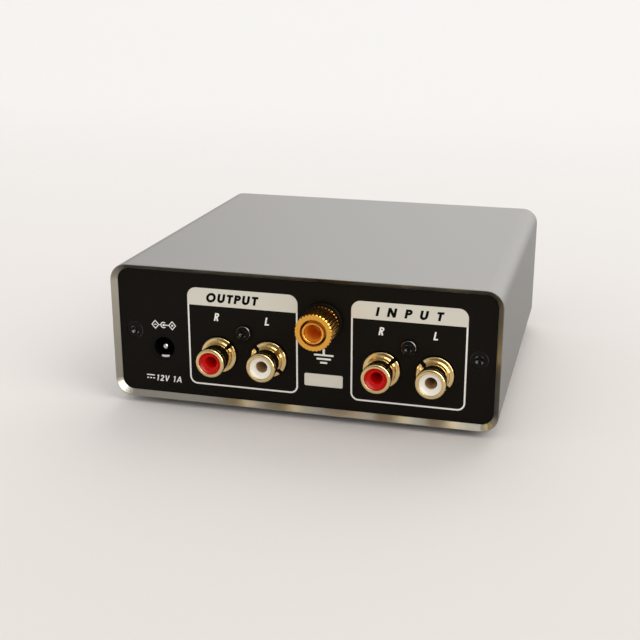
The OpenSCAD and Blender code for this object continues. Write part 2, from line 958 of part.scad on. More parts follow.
// The bat-shaped lever on its ball, thrown down at rest, with the bore for its pin
module switch_lever() {
    waist_r = lever_d / 2 - 0.45;
    tip_r = lever_d / 2;
    tail_r = 0.7;
    tail_l = 4.6;
    color("whitesmoke")
        on_front(switch_x, case_mid)
            translate([0, 0, pivot_out])
                rotate([lever_swing / 2, 0, 0])
                    difference() {
                        union() {
                            sphere(r = ball_r);
                            translate([0, 0, -tail_l])
                                cylinder(r = tail_r, h = tail_l);
                            rotate_extrude()
                                union() {
                                    polygon([
                                        [0, 0], [waist_r, 0], [waist_r, ball_r], [tip_r, lever_l - tip_r],
                                        [0, lever_l - tip_r]
                                    ]);
                                    translate([0, lever_l - tip_r])
                                        intersection() {
                                            circle(tip_r);
                                            square(tip_r);
                                        }
                                }
                        }
                        across_switch(switch_pin_d + 2 * turn_gap, 2 * ball_r + over);
                    }
}

// The three terminals, out of the switch's back and down through the board
module switch_terminals() {
    color("silver")
        for (step = [-1 : 1])
            translate([switch_x + step * terminal_pitch - terminal_t / 2, terminal_y, 0]) {
                translate([0, 0, case_mid - terminal_t / 2])
                    cube([terminal_t, terminal_out, terminal_t]);
                translate([0, terminal_out - terminal_t, lead_low])
                    cube([terminal_t, terminal_t, case_mid - lead_low]);
            }
}

module led_bezel() {
    color("silver")
        on_front(led_x, case_mid)
            difference() {
                union() {
                    round_ended_pin(bezel_d / 2, 0.9, 0.5);
                    translate([0, 0, -panel_t - 0.8])
                        cylinder(d = led_d + 1.6, h = panel_t + 1);
                }
                translate([0, 0, -panel_t - over - 0.8])
                    cylinder(d = led_d + 2 * seat_gap, h = panel_t + 2 * over + 2);
            }
}

// The light itself: a dome on a short barrel with a flange behind the bezel
module led_lens() {
    color("#dfe8e4")
        on_front(led_x, case_mid)
            translate([0, 0, -panel_t - 1.9]) {
                round_ended_pin(led_d / 2, panel_t + 3.6, led_d / 2 - 0.1);
                cylinder(d = led_d + 0.9, h = 1);
            }
}

module led_leads() {
    color("silver")
        for (side = [-1, 1])
            translate([led_x + side * lead_pitch / 2 - wire_t / 2, led_lead_y, 0]) {
                translate([0, 0, case_mid - wire_t / 2])
                    cube([wire_t, led_lead_out, wire_t]);
                translate([0, led_lead_out - wire_t, lead_low])
                    cube([wire_t, wire_t, case_mid - lead_low]);
            }
}

// ---- Board ----

// The plated holes that every tail, peg and lead goes through
module board_holes() {
    for (jack = JACKS) {
        tail_hole(jack[1], panel_face + shell_tail_y - tail_t / 2);
        tail_hole(jack[1], panel_face + contact_tail_y + tail_t / 2);
    }
    for (mid_x = [output_x, -input_x], side = [-1, 1])
        translate([
            mid_x + side * (housing_w / 2 - peg_inset),
            panel_back - housing_l / 2,
            board_z - board_t - over
        ])
            cylinder(d = peg_d + 0.2, h = board_t + 2 * over);
    tail_hole(dc_x, panel_face + dc_leaf_tail_y + tail_t / 2);
    tail_hole(dc_x, panel_face + dc_pin_tail_y + tail_t / 2);
    tail_hole(-post_x, panel_back - inner_washer_t - tag_t / 2);
    for (step = [-1 : 1])
        board_hole(switch_x + step * terminal_pitch, terminal_y + terminal_out - terminal_t / 2, terminal_t);
    for (side = [-1, 1])
        board_hole(led_x + side * lead_pitch / 2, led_lead_y + led_lead_out - wire_t / 2, wire_t);
}

// A slot in the board for a flat tail whose middle is at x, y
module tail_hole(x, y) {
    w = tail_w + tail_gap_w;
    l = tail_t + tail_gap_t;
    translate([x - w / 2, y - l / 2, board_z - board_t - over])
        cube([w, l, board_t + 2 * over]);
}

// A square hole in the board for a square lead
module board_hole(x, y, lead_t) {
    side = lead_t + 0.3;
    translate([x - side / 2, y - side / 2, board_z - board_t - over])
        cube([side, side, board_t + 2 * over]);
}

module main_board() {
    color("darkgreen")
        difference() {
            translate([-board_w / 2, -board_y, board_z - board_t])
                cube([board_w, 2 * board_y, board_t]);
            board_holes();
        }
}

// An eight-pin amplifier chip, standing on its legs, with the notch that marks its first pin
module op_amp(place) {
    leg_h = chip_stand + chip_size[2] / 2;
    translate([chip_edge + place * chip_pitch - board_w / 2, chip_y, board_z]) {
        color("#202020")
            difference() {
                translate([-chip_size[0] / 2, -chip_size[1] / 2, chip_stand])
                    cube(chip_size);
                translate([0, -chip_size[1] / 2, chip_stand + chip_size[2] - 0.4])
                    cylinder(r = 0.8, h = 1);
            }
        color("silver")
            for (side = [-1, 1], row = [-1.5 : 1.5])
                translate([side * (chip_size[0] + chip_leg[1]) / 2, row * lead_pitch, leg_h / 2])
                    cube([chip_leg[0], chip_leg[1], leg_h], center = true);
    }
}

// The regulator upright on its three legs, with the hole in its metal tab
module voltage_regulator() {
    w = regulator_size[0];
    tab_y = regulator_size[1] - regulator_tab[1];
    leg_y = 1.6;
    color("#303030")
        translate([dc_x - w / 2, chip_y, board_z])
            difference() {
                union() {
                    translate([0, 0, regulator_stand])
                        cube(regulator_size);
                    translate([0, tab_y, regulator_stand])
                        cube(regulator_tab);
                    for (step = [-1 : 1])
                        translate([w / 2 + step * lead_pitch - regulator_leg[0] / 2, leg_y, 0])
                            cube([regulator_leg[0], regulator_leg[1], regulator_stand + over]);
                }
                translate([w / 2, tab_y - over, regulator_stand + (regulator_size[2] + regulator_tab[2]) / 2])
                    rotate([-90, 0, 0])
                        cylinder(d = regulator_hole_d, h = regulator_tab[1] + 2 * over);
            }
}

// An upright electrolytic can, with the crimp groove near its base
module electrolytic_cap(place) {
    r = cap_d / 2;
    edge = 0.2;
    shoulder = 0.6;
    groove = 0.5;
    groove_z = 2;
    color("#27325c")
        translate([board_w / 2 - cap_edge - place * (cap_d + cap_space), cap_y, board_z])
            rotate_extrude()
                polygon([
                    [0, 0], [r - edge, 0], [r, edge], [r, groove_z], [r - groove, groove_z + groove],
                    [r, groove_z + 2 * groove], [r, cap_l - shoulder], [r - shoulder, cap_l], [0, cap_l]
                ]);
}

module film_cap(place) {
    color("#a5281f")
        translate([film_edge + place * (film_size[0] + film_space) - board_w / 2, film_y, board_z])
            cube(film_size);
}

// A row of small resistors, each with two bent legs
module resistors() {
    axis_h = resistor_r + resistor_stand;
    color("#c8b48a")
        for (i = [0 : resistor_count - 1])
            translate([
                film_edge + i * resistor_pitch - board_w / 2, resistor_edge - board_y, board_z + axis_h
            ]) {
                rotate([-90, 0, 0])
                    cylinder(r = resistor_r, h = resistor_l);
                translate([-wire_t / 2, -resistor_wire_out, -wire_t / 2])
                    cube([wire_t, resistor_l + 2 * resistor_wire_out, wire_t]);
                for (y = [-resistor_wire_out, resistor_l + resistor_wire_out - wire_t])
                    translate([-wire_t / 2, y, -axis_h])
                        cube([wire_t, wire_t, axis_h + wire_t / 2]);
            }
}

case_tube();
rear_panel();
front_panel();
rear_panel_screws();
front_panel_screws();
foot(-1, -1);  // foot_front_left
foot(1, -1);  // foot_front_right
foot(-1, 1);  // foot_rear_left
foot(1, 1);  // foot_rear_right
main_board();
op_amp(0);  // op_amp_left
op_amp(1);  // op_amp_right
voltage_regulator();
resistors();
electrolytic_cap(0);  // electrolytic_cap_1
electrolytic_cap(1);  // electrolytic_cap_2
electrolytic_cap(2);  // electrolytic_cap_3
electrolytic_cap(3);  // electrolytic_cap_4
film_cap(0);  // film_cap_1
film_cap(1);  // film_cap_2
film_cap(2);  // film_cap_3
film_cap(3);  // film_cap_4
rca_housing(output_x, ["output_right", "output_left"]);  // rca_housing_output
rca_housing(-input_x, ["input_right", "input_left"]);  // rca_housing_input
rca_block_screws();
rca_shell(JACKS[0][1], JACKS[0][3]);  // rca_shell_output_right
rca_shell(JACKS[1][1], JACKS[1][3]);  // rca_shell_output_left
rca_shell(JACKS[2][1], JACKS[2][3]);  // rca_shell_input_right
rca_shell(JACKS[3][1], JACKS[3][3]);  // rca_shell_input_left
rca_insert(JACKS[0][1], JACKS[0][2]);  // rca_insert_output_right
rca_insert(JACKS[1][1], JACKS[1][2]);  // rca_insert_output_left
rca_insert(JACKS[2][1], JACKS[2][2]);  // rca_insert_input_right
rca_insert(JACKS[3][1], JACKS[3][2]);  // rca_insert_input_left
rca_contact(JACKS[0][1]);  // rca_contact_output_right
rca_contact(JACKS[1][1]);  // rca_contact_output_left
rca_contact(JACKS[2][1]);  // rca_contact_input_right
rca_contact(JACKS[3][1]);  // rca_contact_input_left
dc_jack_body();
dc_jack_pin();
dc_jack_spring();
ground_stud();
ground_collar();
ground_inner_washer();
ground_tag();
ground_lock_nut();
ground_clamp_washer();
ground_thumb_nut();
switch_body();
switch_bushing();
switch_pin();
switch_washer();
switch_nut();
switch_lever();
switch_terminals();
led_bezel();
led_lens();
led_leads();
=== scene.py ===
import bmesh
import bpy
import numpy as np
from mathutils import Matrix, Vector


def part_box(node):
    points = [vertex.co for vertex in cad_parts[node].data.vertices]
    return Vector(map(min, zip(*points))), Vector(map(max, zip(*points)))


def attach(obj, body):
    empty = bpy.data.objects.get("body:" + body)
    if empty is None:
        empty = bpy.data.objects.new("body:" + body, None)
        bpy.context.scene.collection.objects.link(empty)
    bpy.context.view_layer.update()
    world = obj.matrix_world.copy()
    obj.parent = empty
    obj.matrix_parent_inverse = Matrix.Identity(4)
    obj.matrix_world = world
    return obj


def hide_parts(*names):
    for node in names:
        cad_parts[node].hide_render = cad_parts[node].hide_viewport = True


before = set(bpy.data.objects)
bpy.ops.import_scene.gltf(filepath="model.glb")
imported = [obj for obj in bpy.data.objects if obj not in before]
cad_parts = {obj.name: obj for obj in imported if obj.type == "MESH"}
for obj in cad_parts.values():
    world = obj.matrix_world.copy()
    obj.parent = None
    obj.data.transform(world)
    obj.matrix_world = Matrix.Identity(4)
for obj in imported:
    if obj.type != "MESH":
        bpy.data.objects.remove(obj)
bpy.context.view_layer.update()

# ---- Camera ----
# A long lens 30 cm from the connector end, a little above it and to its right as it is read, so that the
# tube's top and its right side both show.
camera_data = bpy.data.cameras.new("camera")
camera_data.sensor_width = 36
camera_data.lens = 62.11
camera_data.clip_start = 0.01
camera = bpy.data.objects.new("camera", camera_data)
camera.location = Vector((-0.078413, 0.317625, 0.119438))
camera_aim = Vector((0.2487, -0.9177, -0.3097))
camera.rotation_mode = "QUATERNION"
camera.rotation_quaternion = camera_aim.to_track_quat("-Z", "Y")
bpy.context.scene.collection.objects.link(camera)
bpy.context.scene.camera = camera
bpy.context.scene.view_settings.view_transform = "Standard"

# ---- Floor and light ----
# A wide pale floor in a plain pale room. Two distant lamps stand behind the unit and to its right. Three
# sheets, a tall one at the right, a small low one at the right rear and one overhead, show in glossy
# surfaces only.
world = bpy.data.worlds.new("room")
bpy.context.scene.world = world
world.use_nodes = True
room_tree = world.node_tree
room_tree.nodes.clear()
heading = room_tree.nodes.new("ShaderNodeTexCoord").outputs["Generated"]
rays = room_tree.nodes.new("ShaderNodeLightPath").outputs


def vector_step(tree, operation, first, second=None):
    """Adds a vector maths node and returns its output: one number for a length or a dot product."""
    step = tree.nodes.new("ShaderNodeVectorMath")
    step.operation = operation
    tree.links.new(first, step.inputs[0])
    if second is not None:
        step.inputs[1].default_value = second
    return step.outputs["Value" if operation in ("LENGTH", "DOT_PRODUCT") else "Vector"]


def number_step(tree, operation, first, second):
    """Adds a maths node and returns its output. Either input is a number or another node's output."""
    step = tree.nodes.new("ShaderNodeMath")
    step.operation = operation
    for socket, value in zip(step.inputs, (first, second)):
        if isinstance(value, (float, int)):
            socket.default_value = value
        else:
            tree.links.new(value, socket)
    return step.outputs[0]


def level_by_heading(evenly, lean):
    """A brightness that rises towards lean: evenly plus the dot product of the heading and lean, kept
    between zero and one."""
    level = number_step(room_tree, "ADD", vector_step(room_tree, "DOT_PRODUCT", heading, lean), evenly)
    level.node.use_clamp = True
    return level


def glow(colour, level):
    """A background of one colour, whose brightness is another node's output."""
    background = room_tree.nodes.new("ShaderNodeBackground")
    background.inputs["Color"].default_value = (*colour, 1)
    room_tree.links.new(level, background.inputs["Strength"])
    return background.outputs[0]


# Matt surfaces are lit by a sky that is brightest to the left of the connector end. The camera sees the
# room at its full level, and glossy surfaces show it brightest behind the unit
sky = glow((0.97, 0.98, 1.0), level_by_heading(0.52, (0.35, 0.25, 0.16)))
room_level = number_step(
    room_tree, "MAXIMUM", level_by_heading(0.62, (0.22, -0.38, 0.0)), rays["Is Camera Ray"]
)
room = glow((0.93, 0.90, 0.87), room_level)
shown = number_step(room_tree, "MAXIMUM", rays["Is Camera Ray"], rays["Is Glossy Ray"])
shown = number_step(room_tree, "MAXIMUM", shown, rays["Is Transmission Ray"])
choose = room_tree.nodes.new("ShaderNodeMixShader")
for socket, value in zip(choose.inputs, (shown, sky, room)):
    room_tree.links.new(value, socket)
out = room_tree.nodes.new("ShaderNodeOutputWorld")
room_tree.links.new(choose.outputs[0], out.inputs["Surface"])

UNIT_MIDDLE = Vector((0, 0, 0.02))


def hang(name, lamp, place, colour, lights_matt=True):
    """Hangs a lamp at a place, turned to face the middle of the unit. No camera sees the lamp itself."""
    lamp.color = colour
    holder = bpy.data.objects.new(name, lamp)
    holder.location = place
    holder.rotation_mode = "QUATERNION"
    holder.rotation_quaternion = (UNIT_MIDDLE - Vector(place)).to_track_quat("-Z", "Y")
    holder.visible_camera = False
    holder.visible_diffuse = lights_matt
    bpy.context.scene.collection.objects.link(holder)


def sheet(name, place, width, height, level, colour):
    """A flat panel that only glossy surfaces show. level is how bright its face is, so its power is level
    times pi times its area."""
    lamp = bpy.data.lights.new(name, "AREA")
    lamp.shape = "RECTANGLE"
    lamp.size, lamp.size_y = width, height
    lamp.energy = level * np.pi * width * height
    hang(name, lamp, place, colour, lights_matt=False)


def far_lamp(name, place, level, spread, colour):
    """A very distant round lamp. The angle that its disc fills, spread, sets how soft its shadow is."""
    lamp = bpy.data.lights.new(name, "SUN")
    lamp.energy = level
    lamp.angle = np.radians(spread)
    hang(name, lamp, place, colour)


far_lamp("rear_lamp", (-0.05, -0.8, 0.6), level=1.2, spread=60, colour=(1.0, 0.99, 0.97))
far_lamp("right_lamp", (-0.70, 0.30, 0.62), level=0.8, spread=40, colour=(1.0, 0.99, 0.97))
sheet("right_sheet", (-4.3, 1.8, 3.9), width=4.4, height=10.0, level=4.6, colour=(1.0, 0.99, 0.99))
sheet("rear_sheet", (-0.25, -0.35, 0.12), width=0.18, height=0.18, level=2.0, colour=(1.0, 0.99, 0.97))
sheet("top_sheet", (0.1, 1.2, 3.0), width=1.3, height=0.5, level=1.7, colour=(1.0, 0.99, 0.98))


def own_place(tree):
    """Adds a node for a point's place in the piece's own coordinates, and returns its output."""
    return tree.nodes.new("ShaderNodeTexCoord").outputs["Object"]


def split(tree, vector):
    """Adds a node that splits a vector and returns its outputs."""
    apart = tree.nodes.new("ShaderNodeSeparateXYZ")
    tree.links.new(vector, apart.inputs[0])
    return apart.outputs


FLOOR_HALF = 30.0
# The paint grows lighter from NEAR_Y, before the connector end, to FAR_Y, far behind the unit: painted
# shade, darker near the camera
NEAR_Y, FAR_Y = 0.25, -0.6
NEAR_PAINT, FAR_PAINT = (0.83, 0.772, 0.725, 1), (0.93, 0.905, 0.88, 1)
floor_paint = bpy.data.materials.new("floor_paint")
floor_paint.use_nodes = True
paint_tree = floor_paint.node_tree
paint = paint_tree.nodes["Principled BSDF"]
paint.inputs["Roughness"].default_value = 0.9
paint.inputs["Specular IOR Level"].default_value = 0.1
distance = paint_tree.nodes.new("ShaderNodeMapRange")
distance.inputs["From Min"].default_value = NEAR_Y
distance.inputs["From Max"].default_value = FAR_Y
paint_tree.links.new(split(paint_tree, own_place(paint_tree))["Y"], distance.inputs["Value"])
shade = paint_tree.nodes.new("ShaderNodeMix")
shade.data_type = "RGBA"
shade.inputs["A"].default_value = NEAR_PAINT
shade.inputs["B"].default_value = FAR_PAINT
paint_tree.links.new(distance.outputs[0], shade.inputs["Factor"])
paint_tree.links.new(shade.outputs["Result"], paint.inputs["Base Color"])
floor_mesh = bpy.data.meshes.new("floor")
floor_corners = [(x * FLOOR_HALF, y * FLOOR_HALF, 0) for x, y in ((-1, -1), (1, -1), (1, 1), (-1, 1))]
floor_mesh.from_pydata(floor_corners, [], [(0, 1, 2, 3)])
floor_mesh.materials.append(floor_paint)
floor = bpy.data.objects.new("floor", floor_mesh)
bpy.context.scene.collection.objects.link(floor)

# ---- Case tube ----
# One aluminium extrusion, 1.5 mm thick, cut to length and bead blasted. A 45 degree cutter then chamfers
# its mouths, which leaves them smoother, and the whole is anodised in a pale titanium grey.
MM = 0.001
# The radius of the tube's corners, and where the chamfers lie: how near its ends and how far inside its
# outline
CORNER_R, CUT_DEEP, CUT_EDGE = 4.8 * MM, 1.38 * MM, 0.08 * MM


def grained(name, dark, light, rough, grain, bump, metallic=0.0, **sockets):
    """A material whose colour runs from dark to light, and whose roughness runs between two values, with
    one noise in the piece's own coordinates. grain is the size of a grain and bump its height, both in
    metres."""
    material = bpy.data.materials.new(name)
    material.use_nodes = True
    tree = material.node_tree
    bsdf = tree.nodes["Principled BSDF"]
    bsdf.inputs["Metallic"].default_value = metallic
    for socket, value in sockets.items():
        bsdf.inputs[socket.replace("_", " ")].default_value = value
    noise = tree.nodes.new("ShaderNodeTexNoise")
    noise.inputs["Scale"].default_value = 1 / grain
    noise.inputs["Detail"].default_value = 4
    tree.links.new(own_place(tree), noise.inputs["Vector"])
    colour = tree.nodes.new("ShaderNodeMix")
    colour.data_type = "RGBA"
    colour.inputs["A"].default_value = (*dark, 1)
    colour.inputs["B"].default_value = (*light, 1)
    tree.links.new(noise.outputs["Fac"], colour.inputs["Factor"])
    tree.links.new(colour.outputs["Result"], bsdf.inputs["Base Color"])
    roughness = tree.nodes.new("ShaderNodeMapRange")
    roughness.inputs["To Min"].default_value = rough[0]
    roughness.inputs["To Max"].default_value = rough[1]
    tree.links.new(noise.outputs["Fac"], roughness.inputs["Value"])
    tree.links.new(roughness.outputs[0], bsdf.inputs["Roughness"])
    if bump:
        relief = tree.nodes.new("ShaderNodeBump")
        relief.inputs["Distance"].default_value = bump
        tree.links.new(noise.outputs["Fac"], relief.inputs["Height"])
        tree.links.new(relief.outputs[0], bsdf.inputs["Normal"])
    return material


def dress(material, *names):
    """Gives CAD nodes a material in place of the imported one."""
    for node_name in names:
        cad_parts[node_name].data.materials.clear()
        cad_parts[node_name].data.materials.append(material)


def where(material, mask, colour, rough, metallic=1.0):
    """Gives a material another colour, roughness and metallic where the mask is one."""
    tree = material.node_tree
    bsdf = tree.nodes["Principled BSDF"]
    for name, value in (("Base Color", (*colour, 1)), ("Roughness", rough), ("Metallic", metallic)):
        change = tree.nodes.new("ShaderNodeMix")
        if name == "Base Color":
            change.data_type = "RGBA"
        tree.links.new(mask, change.inputs["Factor"])
        change.inputs["B"].default_value = value
        if bsdf.inputs[name].is_linked:
            tree.links.new(bsdf.inputs[name].links[0].from_socket, change.inputs["A"])
        else:
            change.inputs["A"].default_value = bsdf.inputs[name].default_value
        tree.links.new(change.outputs["Result"], bsdf.inputs[name])


def cut_mask(tree, middle_z, half_w, half_h, corner, from_y):
    """One on the chamfers of the tube's mouths. They lie further from the middle than from_y and inside
    the outline: a round-cornered rectangle, whose distance is the length of what |x| and |z| have beyond
    its inner rectangle, less the corner radius."""
    from_middle = vector_step(tree, "SUBTRACT", own_place(tree), (0, 0, middle_z))
    from_middle = vector_step(tree, "ABSOLUTE", from_middle)
    beyond = vector_step(tree, "SUBTRACT", from_middle, (half_w - corner, 0, half_h - corner))
    beyond = vector_step(tree, "MAXIMUM", beyond, (0, 0, 0))
    beyond = vector_step(tree, "LENGTH", vector_step(tree, "MULTIPLY", beyond, (1, 0, 1)))
    inside = number_step(tree, "LESS_THAN", beyond, corner - CUT_EDGE)
    near_mouth = number_step(tree, "GREATER_THAN", split(tree, from_middle)["Y"], from_y)
    return number_step(tree, "MULTIPLY", inside, near_mouth)


case_finish = grained(
    "blasted_titanium_grey", (0.252, 0.248, 0.241), (0.290, 0.286, 0.278), (0.45, 0.55),
    grain=0.12 * MM, bump=0.01 * MM, metallic=0.8, Specular_Tint=(0.6, 0.6, 0.6, 1),
)
tube_low, tube_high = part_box("case_tube")
is_cut = cut_mask(
    case_finish.node_tree, (tube_low.z + tube_high.z) / 2, tube_high.x, (tube_high.z - tube_low.z) / 2,
    CORNER_R, tube_high.y - CUT_DEEP,
)
where(case_finish, is_cut, (0.345, 0.33, 0.28), 0.3)
dress(case_finish, "case_tube")

# ---- End panels ----
# Two 2 mm aluminium plates, punched and powder coated in a fine satin black, that drop into the tube's
# mouths and stop 1.4 mm below its ends.
panel_finish = grained(
    "satin_black_coat", (0.0065, 0.0052, 0.0034), (0.0098, 0.0082, 0.0058), (0.42, 0.55),
    grain=0.2 * MM, bump=0.006 * MM, Specular_IOR_Level=0.05,
)
dress(panel_finish, "rear_panel", "front_panel")

# ---- Print on the rear panel ----
# Screen print in two passes, off-white ink and black over it: two boxes with a title band, the channel
# letters, the ground and polarity signs and the rating. The lengths are in millimetres, as read from
# behind the unit.
PANEL_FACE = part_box("rear_panel")[1].y
CASE_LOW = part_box("case_tube")[0].z
# How far each ink's lower and upper face lie out of the panel
INK, OVER_INK = (-0.015, 0.03), (0.02, 0.05)
HAIR, SLANT = 0.004, 0.19


def stroke_edges(points, width, closed=False):
    """The two edges of a line of even width. Each point moves along the mitre of its two segments'
    normals, which is their sum over one plus the cosine of the turn."""
    points = np.asarray(points, float)
    ahead = np.roll(points, -1, 0) - points
    behind = points - np.roll(points, 1, 0)
    if not closed:
        ahead[-1] = behind[-1]
        behind[0] = ahead[0]
    ahead /= np.linalg.norm(ahead, axis=1, keepdims=True)
    behind /= np.linalg.norm(behind, axis=1, keepdims=True)
    normals = np.stack([-ahead[:, 1] - behind[:, 1], ahead[:, 0] + behind[:, 0]], 1)
    mitre = normals / (1 + (ahead * behind).sum(1))[:, None]
    return points + mitre * width / 2, points - mitre * width / 2


def strip(left, right, low, high, closed=False):
    """A flat strip between two edges, from height low to high: four corners carried along the edges."""
    count = len(left)
    flats = np.stack([left, left, right, right], 1)
    heights = np.broadcast_to([low, high, high, low], (count, 4))
    corners = np.concatenate([flats, heights[..., None]], 2).reshape(-1, 3)
    row = np.arange(count if closed else count - 1)
    start = (row * 4)[:, None]
    after = ((row + 1) % count * 4)[:, None]
    side = np.arange(4)
    beside = (side + 1) % 4
    faces = np.stack([start + side, start + beside, after + beside, after + side], 2).reshape(-1, 4).tolist()
    if not closed:
        faces += [[3, 2, 1, 0], [count * 4 - 4 + k for k in range(4)]]
    return corners, faces


def arc(centre, radius, start, end, steps=16):
    """Points on a circle from one angle to another, in degrees."""
    turn = np.radians(np.linspace(start, end, steps))
    return np.stack([centre[0] + radius * np.cos(turn), centre[1] + radius * np.sin(turn)], 1)


def rounded_box(left, right, low, high, r):
    """A rectangle with round corners, anticlockwise from its lower right corner."""
    return np.concatenate([
        arc((right - r, low + r), r, -90, 0),
        arc((right - r, high - r), r, 0, 90),
        arc((left + r, high - r), r, 90, 180),
        arc((left + r, low + r), r, 180, 270),
    ])


def solid(name, parts, material, body, sharp=32):
    """Joins (points, faces) pairs into one mesh object: doubles merged, faces turned outwards, smooth up
    to the sharp angle. It rides on a CAD body."""
    points, faces, first = [], [], 0
    for part_points, part_faces in parts:
        points.append(part_points)
        faces += [[first + k for k in face] for face in part_faces]
        first += len(part_points)
    mesh = bpy.data.meshes.new(name)
    mesh.from_pydata(np.concatenate(points).tolist(), [], faces)
    work = bmesh.new()
    work.from_mesh(mesh)
    bmesh.ops.remove_doubles(work, verts=work.verts, dist=1e-7)
    bmesh.ops.recalc_face_normals(work, faces=work.faces)
    work.to_mesh(mesh)
    work.free()
    mesh.polygons.foreach_set("use_smooth", np.ones(len(mesh.polygons), bool))
    mesh.set_sharp_from_angle(angle=np.radians(sharp))
    mesh.materials.append(material)
    piece = bpy.data.objects.new(name, mesh)
    bpy.context.scene.collection.objects.link(piece)
    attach(piece, body)
    return piece


def on_panel(part):
    """Takes (across, up, out) in millimetres, read from behind the unit, to metres in the row frame."""
    points, faces = part
    across, up, out_by = points.T
    return np.stack([-across * MM, PANEL_FACE + out_by * MM, CASE_LOW + up * MM], 1), faces


def lines(strokes, ink):
    """One strip for each stroke (points, width, closed). Each next strip is a hair higher, so that no two
    lie in one plane."""
    low, high = ink
    made = []
    for number, (points, width, closed) in enumerate(strokes):
        left, right = stroke_edges(points, width, closed)
        made.append(strip(left, right, low, high + number * HAIR, closed))
    return made


def letter(sign, t):
    """The strokes of one capital or digit, one unit high, from bars and arcs of width t."""
    bowl = {"P": 0.32, "R": 0.28}.get(sign, 0.3) - t / 2
    stem = ([(t / 2, 0), (t / 2, 1)], t, False)
    if sign == "O":
        return [(arc((0.53, 0.5), 0.55 - t / 2, 0, 354, 60), t, True)]
    if sign == "U":
        bend = 0.42 - t / 2
        foot = arc((0.42, bend + t / 2 - 0.02), bend, 180, 360, 24)
        return [(np.concatenate([[(t / 2, 1)], foot, [(0.84 - t / 2, 1)]]), t, False)]
    if sign == "T":
        bar = ([(0, 1 - t / 2), (0.72, 1 - t / 2)], t * 0.9, False)
        return [bar, ([(0.36, 0), (0.36, 1 - t * 0.95)], t, False)]
    if sign == "I":
        return [stem]
    if sign == "N":
        right = ([(0.94 - t / 2, 0), (0.94 - t / 2, 1)], t, False)
        return [stem, right, ([(t / 2, 0.98), (0.94 - t / 2, 0.02)], t, False)]
    if sign == "L":
        return [([(t / 2, 1), (t / 2, t / 2), (0.52, t / 2)], t, False)]
    if sign in "PR":
        level = 1 - t / 2 - bowl
        reach = (0.74 if sign == "P" else 0.56) - t / 2 - bowl
        curve = arc((reach, level), bowl, 90, -90, 20)
        loop = np.concatenate([[(t, level + bowl)], curve, [(t, level - bowl)]])
        leg = [([(0.25, level - bowl), (0.48, 0)], t, False)] if sign == "R" else []
        return [stem, (loop, t * 0.95, False), *leg]
    if sign == "1":
        return [([(0.24, 0), (0.24, 1)], t, False), ([(0.02, 0.82), (0.24, 0.93)], t * 0.8, False)]
    if sign == "2":
        curve = arc((0.29, 0.71), 0.29 - t / 2, 175, -32, 20)
        foot = ([(0, t / 2), (0.6, t / 2)], t, False)
        return [(np.concatenate([curve, [(0.1, t * 0.6)]]), t, False), foot]
    if sign == "V":
        return [([(0.08, 1), (0.34, 0)], t, False), ([(0.34, 0), (0.66, 1)], t, False)]
    # Only the A is left
    legs = [([(0.06, 0), (0.42, 1)], t, False), ([(0.42, 1), (0.78, 0)], t, False)]
    return [*legs, ([(0.2, 0.3), (0.64, 0.3)], t * 0.8, False)]


def lettering(text, places, base, ink, cap, weight):
    """Slanted capitals, cap high, each with its lower left corner at its own place along the line."""
    made = []
    for sign, place_across in zip(text, places):
        for points, faces in lines(letter(sign, weight), ink):
            across = place_across + (points[:, 0] + SLANT * points[:, 1]) * cap
            made.append((np.stack([across, base + points[:, 1] * cap, points[:, 2]], 1), faces))
    return made


# Each box: left, right, bottom, top, and the height at which its band begins
BOXES = [(-32.05, -0.70, 4.95, 33.0, 28.05), (14.0, 44.95, 4.75, 32.85, 28.0)]
# The width of its line, how far that laps its band, and the radii of its lower and upper corners
LINE, BAND_LAP, LOW_R, HIGH_R = 0.45, 0.02, 2.2, 2.6
fine_ink, white_ink = [], []
for left, right, low, high, band in BOXES:
    frame_edges = []
    lap = band + BAND_LAP
    for inset in (0, LINE):
        right_corner = arc((right - LOW_R, low + LOW_R), LOW_R - inset, 0, -90)
        left_corner = arc((left + LOW_R, low + LOW_R), LOW_R - inset, -90, -180)
        frame_edges.append(
            np.concatenate([[(right - inset, lap)], right_corner, left_corner, [(left + inset, lap)]])
        )
    fine_ink.append(strip(*frame_edges, *INK))
    right_corner = arc((right - HIGH_R, high - HIGH_R), HIGH_R, 0, 90)
    left_corner = arc((left + HIGH_R, high - HIGH_R), HIGH_R, 90, 180)
    band_top = np.concatenate([right_corner, left_corner])
    band_foot = np.stack([band_top[:, 0], np.full(len(band_top), band)], 1)
    white_ink.append(strip(band_top, band_foot, *INK))
CHANNELS = [("R", -24.5, 23.9), ("L", -10.0, 23.8), ("R", 21.4, 23.85), ("L", 35.95, 23.75)]
for sign, across, base in CHANNELS:
    fine_ink += lettering(sign, [across], base, INK, cap=2.25, weight=0.19)
RATING_PLACES = [-42.32, -41.17, -39.82, -37.32, -36.22]
fine_ink += lettering("12V1A", RATING_PLACES, 4.72, INK, cap=1.76, weight=0.175)

# The sign of direct current stands to the left of the rating: a bar over three dashes
DASH_HALF = 0.27
direct_current = [([(-45.1, 6.24), (-42.75, 6.24)], 0.3, False)]
for middle in (-44.83, -43.93, -43.02):
    direct_current.append(([(middle - DASH_HALF, 5.34), (middle + DASH_HALF, 5.34)], 0.3, False))

# The ground sign: a stem over three bars, each given by half its length and its height
GROUND_ACROSS = 6.54
ground_sign = [([(GROUND_ACROSS, 21), (GROUND_ACROSS, 17.05)], 0.62, False)]
for half, up in ((2.72, 16.8), (1.98, 15.72), (0.97, 14.65)):
    ground_sign.append(([(GROUND_ACROSS - half, up), (GROUND_ACROSS + half, up)], 0.5, False))

